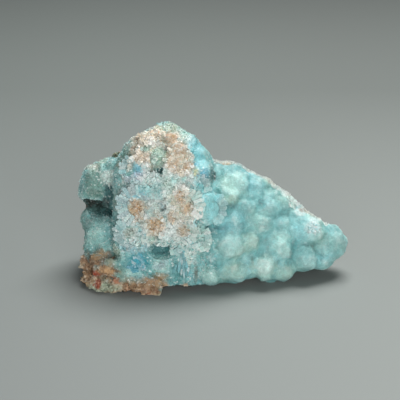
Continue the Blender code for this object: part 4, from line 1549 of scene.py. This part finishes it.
def add_blades(tree, skin_colours, corners, frames):
    """Small blades that radiate over the broken faces."""
    chance = np.random.default_rng(BLADE_SEED)
    frames = frames[:OPEN_BREAKS]
    share = np.array([radius**2 for _, radius, _ in frames])
    picked = chance.choice(len(frames), BLADE_COUNT, p=share / share.sum())
    rows = []
    for middle, radius, (right, upward, out) in (frames[index] for index in picked):
        angle = chance.uniform(0, math.tau)
        away = radius * math.sqrt(chance.uniform(*BLADE_PLACE))
        size = [chance.uniform(*span) for span in BLADE_SIZES]
        lean = math.radians(chance.normal(*BLADE_LEAN))
        swing = angle + math.radians(chance.normal(*BLADE_SWING))
        white = chance.uniform(0, 1)
        bright = chance.uniform(*BLADE_BRIGHT)
        start = middle + between(right, upward, angle) * away
        hit, _, face, _ = tree.ray_cast(Vector(start + out * BLADE_SEEK[0]), Vector(-out))
        if hit is None or abs((np.array(hit) - start) @ out) > BLADE_SEEK[1]:
            continue
        flat = between(right, upward, swing)
        blade = laid(hit, between(flat, out, lean), np.cross(out, flat), out, size, BLADE_SUNK)
        rows.append((*blade, glazed(skin_colours[corners[face]], bright, white, BLADE_PALER)))
    return grow("blades", PLATE, *zip(*rows))


def add_sprays(tree):
    """Sprays of thin blades that lie on the front."""
    chance = np.random.default_rng(SPRAY_SEED)
    above, reach_down = SPRAY_SEEK
    rows = []
    for _, across, down, reach, first, last, lift, count, width, inner, outer in SPRAYS:
        point, normal = seen_at(tree, across, down)
        right = unit(np.cross([0, 0, 1], normal)[None])[0]
        upward = np.cross(normal, right)
        for _ in range(count):
            angle = math.radians(chance.uniform(first, last))
            away = chance.uniform(*SPRAY_START)
            length = reach * chance.uniform(*SPRAY_LENGTH)
            flat = between(right, upward, angle)
            start = Vector(point + flat * reach * away + normal * above)
            hit, out, _, _ = tree.ray_cast(start, Vector(-normal), reach_down)
            size = [length, width * chance.uniform(*SPRAY_WIDE), chance.uniform(*SPRAY_THICK)]
            tilt = math.radians(lift + chance.normal(0, SPRAY_TILT))
            mix = SPRAY_MIX[0] * away + SPRAY_MIX[1] * chance.uniform(0, 1)
            bright, white = chance.uniform(*SPRAY_BRIGHT), chance.uniform(0, 1)
            if hit is None:
                continue
            out = np.array(out)
            side = unit(np.cross(out, flat)[None])[0]
            way = between(np.cross(side, out), out, tilt)
            tint = linear(inner) + (linear(outer) - linear(inner)) * mix
            blade = laid(hit, way, side, out, size, SPRAY_SUNK)
            rows.append((*blade, glazed(tint, bright, white, SPRAY_PALER)))
    return grow("sprays", PLATE, *zip(*rows))


def add_fans(tree, skin, skin_colours, corners):
    """The large blades that stand in fans round the breaks."""
    chance = random.Random(FAN_SEED)
    mixing = random.Random(MIX_SEED)
    mesh = bmesh.new()
    tints = []
    for item, look in zip(BREAKS, BREAK_COLOURS):
        if item[-1] > item[-2]:
            made = add_fan(mesh, tree, chance, mixing, *item)
            first, second, rim = (linear(colour) for colour in look[2:])
            lobes = [mixing.random() for _ in range(made // LOBE + 1)]
            for index in range(made):
                share = LOBE_MIX * lobes[index // LOBE] + (1 - LOBE_MIX) * mixing.random()
                mix = first + (second - first) * share
                # painted light and shade across each lobe: bright at its first crystal, dark at its
                # last
                along = (index % LOBE) / (LOBE - 1)
                shade = LOBE_SHADE[0] + (LOBE_SHADE[1] - LOBE_SHADE[0]) * along
                tints.append((mix + (rim - mix) * LOBE_RIM[along > 0]) * shade)
    fans = from_bmesh("fans", mesh)
    per_blade = len(fans.data.vertices) // len(tints)
    middles = read(fans.data.vertices, "co").reshape(-1, per_blade, 3).mean(axis=1) / MM
    near = [corners[skin.find_nearest(Vector(middle))[2]] for middle in middles]
    tints = np.array(tints) + (skin_colours[near] - np.array(tints)) * FAN_FROM_SKIN
    paler = np.tile(np.array(BLADE_WHITE * 2), len(tints))
    put(fans.data, "tint", blend(np.repeat(tints, per_blade, axis=0), "white", paler))
    return fans


def add_blade(mesh, place, start, end, width, top):
    """Adds one flat-faced blade along the local X of its place, wedge-tipped, its foot in the ball."""
    half = width / 2
    corners = []
    for height, reach in ((top, end), (-BLADE_DEPTH, end * BLADE_TAPER)):
        corners += [(start, -half, height), (start, half, height), (reach, 0, height)]
        corners += [(reach - half * WEDGE, -half, height), (reach - half * WEDGE, half, height)]
    add_block(mesh, [place @ Vector(corner) for corner in corners])


def add_fan(mesh, tree, chance, mixing, across, up, radius, stand, turn, tilt, first, last):
    """Adds one fan, each of whose blades is a few crystals side by side. Returns how many there are."""
    base = break_place(tree, across, up, stand, turn, tilt)
    count = max(2, round(math.radians(last - first) * radius / BLADE_SPACING))
    for step in range(count):
        angle = math.radians(first + (last - first) * (step + 0.5) / count + chance.uniform(*SWING))
        lean = math.radians(chance.uniform(*LEAN))
        place = base @ Matrix.Rotation(angle, 4, "Z") @ Matrix.Rotation(lean, 4, "Y")
        start = radius * BLADE_REACH[0]
        end = radius * BLADE_REACH[1] * chance.uniform(*REACH_SHARE)
        width = BLADE_WIDTH * chance.uniform(*WIDTH_SHARE)
        top = BLADE_TOP * chance.uniform(*TOP_SHARE)
        for part in range(BLADE_PARTS):
            shift = width * ((part + 0.5) / BLADE_PARTS - 0.5)
            turned = place @ Matrix.Rotation(shift / (radius * PART_SPREAD), 4, "Z")
            in_lobe = ((step * BLADE_PARTS + part) % LOBE + 0.5) / LOBE
            reach = end * (PART_REACH - LOBE_NOTCH * (2 * in_lobe - 1) ** 2)
            reach *= mixing.uniform(*PART_REACH_SHARE)
            wide = width / BLADE_PARTS * mixing.uniform(*PART_WIDTH_SHARE)
            high = top * mixing.uniform(*PART_TOP_SHARE)
            add_blade(mesh, turned @ Matrix.Translation((0, shift, 0)), start, reach, wide, high)
    return count * BLADE_PARTS


class Nodes:
    """Builds a material's nodes one after another."""

    def __init__(self, name):
        self.material = bpy.data.materials.new(name)
        self.material.use_nodes = True
        self.tree = self.material.node_tree
        self.shader = self.tree.nodes["Principled BSDF"]

    def add(self, kind, inputs=None, **settings):
        """Adds a node with its inputs and settings; an input may be an output of another node."""
        node = self.tree.nodes.new(kind)
        for key, value in settings.items():
            setattr(node, key, value)
        for key, value in (inputs or {}).items():
            self.feed(node.inputs[key], value)
        return node

    def feed(self, socket, value):
        """Links an output to a socket, or sets the socket's value."""
        if isinstance(value, bpy.types.NodeSocket):
            self.tree.links.new(value, socket)
        else:
            socket.default_value = value

    def noise(self, place, size, detail):
        """Smooth noise whose features are about this size in millimetres."""
        inputs = {"Vector": place, "Scale": 1 / (size * MM), "Detail": detail}
        return self.add("ShaderNodeTexNoise", inputs)

    def cells(self, place, size):
        """Small cells of about this size in millimetres."""
        return self.add("ShaderNodeTexVoronoi", {"Vector": place, "Scale": 1 / (size * MM)})

    def span(self, value, low, high, to_low, to_high):
        """Maps a value from one span to another."""
        names = ("From Min", "From Max", "To Min", "To Max")
        inputs = dict(zip(names, (low, high, to_low, to_high)))
        return self.add("ShaderNodeMapRange", {"Value": value, **inputs}).outputs["Result"]

    def sums(self, how, first, second):
        """The result of a sum on two values."""
        return self.add("ShaderNodeMath", {0: first, 1: second}, operation=how).outputs[0]

    def mixed(self, how, share, first, second):
        """Two colours mixed; a mix node has its colours at the inputs 6 and 7 and the output 2."""
        inputs = {0: share, 6: first, 7: second}
        return self.add("ShaderNodeMix", inputs, data_type="RGBA", blend_type=how).outputs[2]

    def painted(self, layer):
        """The colour stored at the vertices under a name."""
        return self.add("ShaderNodeVertexColor", layer_name=layer).outputs["Color"]

    def set(self, **values):
        """Feeds the shader's own inputs, each by its name with _ for a space."""
        for name, value in values.items():
            self.feed(self.shader.inputs[name.replace("_", " ")], value)


def stone_material(name, roughness, glow, fine, sparkle=None):
    """Painted by vertex, with finer mottling, painted glints and the painted shade of tiny pits, an
    uneven gloss and a sugary bump.

    Without a sparkle of its own, it follows where the skin is calm and where it is bare matrix.
    """
    nodes = Nodes(name)
    place = nodes.add("ShaderNodeTexCoord").outputs["Object"]
    tint = nodes.painted("tint")
    grain = nodes.noise(place, fine, 3).outputs["Fac"]
    sugar = nodes.cells(place, fine * SUGAR_SIZE)
    light = nodes.span(grain, *NOISE_SPAN, *MOTTLE)
    shade = nodes.add("ShaderNodeCombineColor", {0: light, 1: light, 2: light}).outputs["Color"]
    base = nodes.mixed("MULTIPLY", 1.0, tint, shade)
    lone = nodes.add("ShaderNodeSeparateColor", {"Color": sugar.outputs["Color"]}).outputs[0]
    on_skin = sparkle is None
    if on_skin:
        matrix, calm = nodes.painted("bare"), nodes.painted("calm")
        sparkle = nodes.span(calm, 0.0, 1.0, 1.0, SPARKLE_CALM)
        sparkle = nodes.sums("MULTIPLY", sparkle, nodes.span(matrix, 0.0, 1.0, 1.0, SPARKLE_BARE))
    # painted glints: white mixed into the base colour of a few cells
    glint = nodes.sums("MULTIPLY", nodes.span(lone, *GLINTS), sparkle)
    base = nodes.mixed("MIX", glint, base, (*linear("white"), 1.0))
    # painted shade: a few cells darkened as tiny pits
    pit = nodes.sums("MULTIPLY", nodes.span(lone, *PIT_SHADE), sparkle)
    base = nodes.mixed("MULTIPLY", pit, base, PIT_SHADE_COLOUR)
    rough = nodes.span(grain, *NOISE_SPAN, roughness - ROUGH_SWING, roughness + ROUGH_SWING)
    rough = nodes.sums("SUBTRACT", rough, nodes.sums("MULTIPLY", glint, GLINT_GLOSS))
    if on_skin:
        rough = nodes.sums("ADD", rough, nodes.sums("MULTIPLY", matrix, MATRIX_DULL))
        glow = nodes.sums("MULTIPLY", nodes.sums("SUBTRACT", 1.0, matrix), glow)
    height = nodes.sums("MULTIPLY", sugar.outputs["Distance"], CELL_BUMP)
    height = nodes.sums("ADD", height, grain)
    inputs = {"Height": height, "Strength": BUMP_STRENGTH, "Distance": BUMP_DEPTH * MM}
    bump = nodes.add("ShaderNodeBump", inputs).outputs["Normal"]
    nodes.set(Base_Color=base, Roughness=rough, Normal=bump, IOR=CRYSTAL_IOR)
    nodes.set(
        Subsurface_Weight=glow, Subsurface_Radius=UNDER_RADIUS, Subsurface_Scale=UNDER_DEPTH * MM
    )
    return nodes.material


def backdrop_material():
    """Grey paper with painted shade: a little darker away from the camera, and near the camera darker
    on the left.
    """
    nodes = Nodes("backdrop")
    place = nodes.add("ShaderNodeTexCoord").outputs["Object"]
    across = nodes.add("ShaderNodeSeparateXYZ", {"Vector": place}).outputs
    far = nodes.span(across["Y"], *BACKDROP_REACH, 0.0, 1.0)
    side = nodes.span(across["X"], *BACKDROP_SIDES, 0.0, 1.0)
    near, away = (
        nodes.mixed("MIX", side, (*shown(left), 1.0), (*shown(right), 1.0))
        for left, right in ((NEAR_LEFT, NEAR_RIGHT), (FAR_LEFT, FAR_RIGHT))
    )
    base = nodes.mixed("MIX", far, near, away)
    nodes.set(Base_Color=base, Roughness=PAPER_ROUGHNESS, Specular_IOR_Level=PAPER_SPECULAR)
    return nodes.material


def make_stage():
    """A round sweep of paper: a floor that curves up to a wall."""
    profile = [(0, 0), (STAGE_FLOOR, 0)]
    for step in range(1, STAGE_STEPS + 1):
        turn = math.radians(90) * step / STAGE_STEPS
        profile.append((STAGE_FLOOR + STAGE_CURVE * math.sin(turn), STAGE_CURVE * (1 - math.cos(turn))))
    profile.append((STAGE_FLOOR + STAGE_CURVE, STAGE_HEIGHT))
    mesh = bmesh.new()
    points = [mesh.verts.new((across, 0, up)) for across, up in profile]
    line = [mesh.edges.new(pair) for pair in zip(points[:-1], points[1:])]
    bmesh.ops.spin(
        mesh, geom=points + line, axis=(0, 0, 1), cent=(0, 0, 0), angle=math.tau, steps=STAGE_SIDES
    )
    bmesh.ops.remove_doubles(mesh, verts=mesh.verts, dist=0.0001)
    bmesh.ops.recalc_face_normals(mesh, faces=mesh.faces)
    floor = from_bmesh("backdrop", mesh, 1)
    floor.location.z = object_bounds()[0].z
    floor.data.shade_smooth()
    floor.data.materials.append(backdrop_material())


def aimed(name, data, place, way):
    """Adds a lamp or a camera at a place in metres, turned so that its back faces a way."""
    item = new_object(name, data)
    item.location = place
    item.rotation_mode = "QUATERNION"
    item.rotation_quaternion = way.to_track_quat("Z", "Y")
    return item


def light_stage():
    """A large soft light above and behind to the right, a fill in front, and an even sky."""
    for name, place, size, power in LIGHTS:
        lamp = bpy.data.lights.new(name, "AREA")
        lamp.size = size * MM
        lamp.energy = power
        aimed(name, lamp, Vector(place) * MM, Vector(place) * MM - Vector(AIM) * MM)
    world = bpy.data.worlds.new("sky")
    world.use_nodes = True
    background = world.node_tree.nodes["Background"].inputs
    background["Color"].default_value = (*SKY_COLOUR, 1)
    background["Strength"].default_value = SKY_STRENGTH
    bpy.context.scene.world = world
    bpy.context.scene.view_settings.view_transform = "Standard"


def add_camera():
    """The camera looks down a little at the front of the stone."""
    place, _, _, ahead = camera_axes()
    lens = bpy.data.cameras.new("camera")
    lens.lens = LENS
    lens.sensor_width = SENSOR
    lens.clip_start = CLIP_START
    place = Vector(place - np.array([*MIDDLE, 0])) * MM
    bpy.context.scene.camera = aimed("camera", lens, place, Vector(-ahead))


def centre(piece):
    """Brings a piece to the part's own origin, and keeps it on the surface that the stone rests on."""
    points = read(piece.data.vertices, "co") - np.array([*MIDDLE, 0]) * MM
    points[:, 2] = np.maximum(points[:, 2], 0)
    write_points(piece.data, points)


def main():
    stone, blocks, balls = make_mass()
    carve_hollows(stone)
    swell_wing(stone)
    roughen(stone, balls)
    frames = break_frames(blocks)
    detail(stone, balls, frames, skin_tree(stone))
    thin_out(stone, SKIN_TRIANGLES)
    tree = skin_tree(stone)
    colours, border, opened, calm = paint(stone, balls, frames, tree)
    corners = [face.vertices[0] for face in stone.data.polygons]
    pieces = [
        stone,
        add_fans(blocks, tree, colours, corners),
        add_blades(tree, colours, corners, frames),
        add_druse(stone, colours, border, opened, calm),
        add_mosaic(stone, colours, border, opened),
        add_sprays(tree),
        add_rim(stone, colours),
        add_grains(stone, colours, border),
    ]
    stone.data.shade_smooth()
    for piece, look in zip(pieces, LOOKS.values()):
        centre(piece)
        piece.data.materials.clear()
        piece.data.materials.append(stone_material(*look))
        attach(piece, BODY)
    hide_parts(NODE)
    make_stage()
    light_stage()
    add_camera()


main()
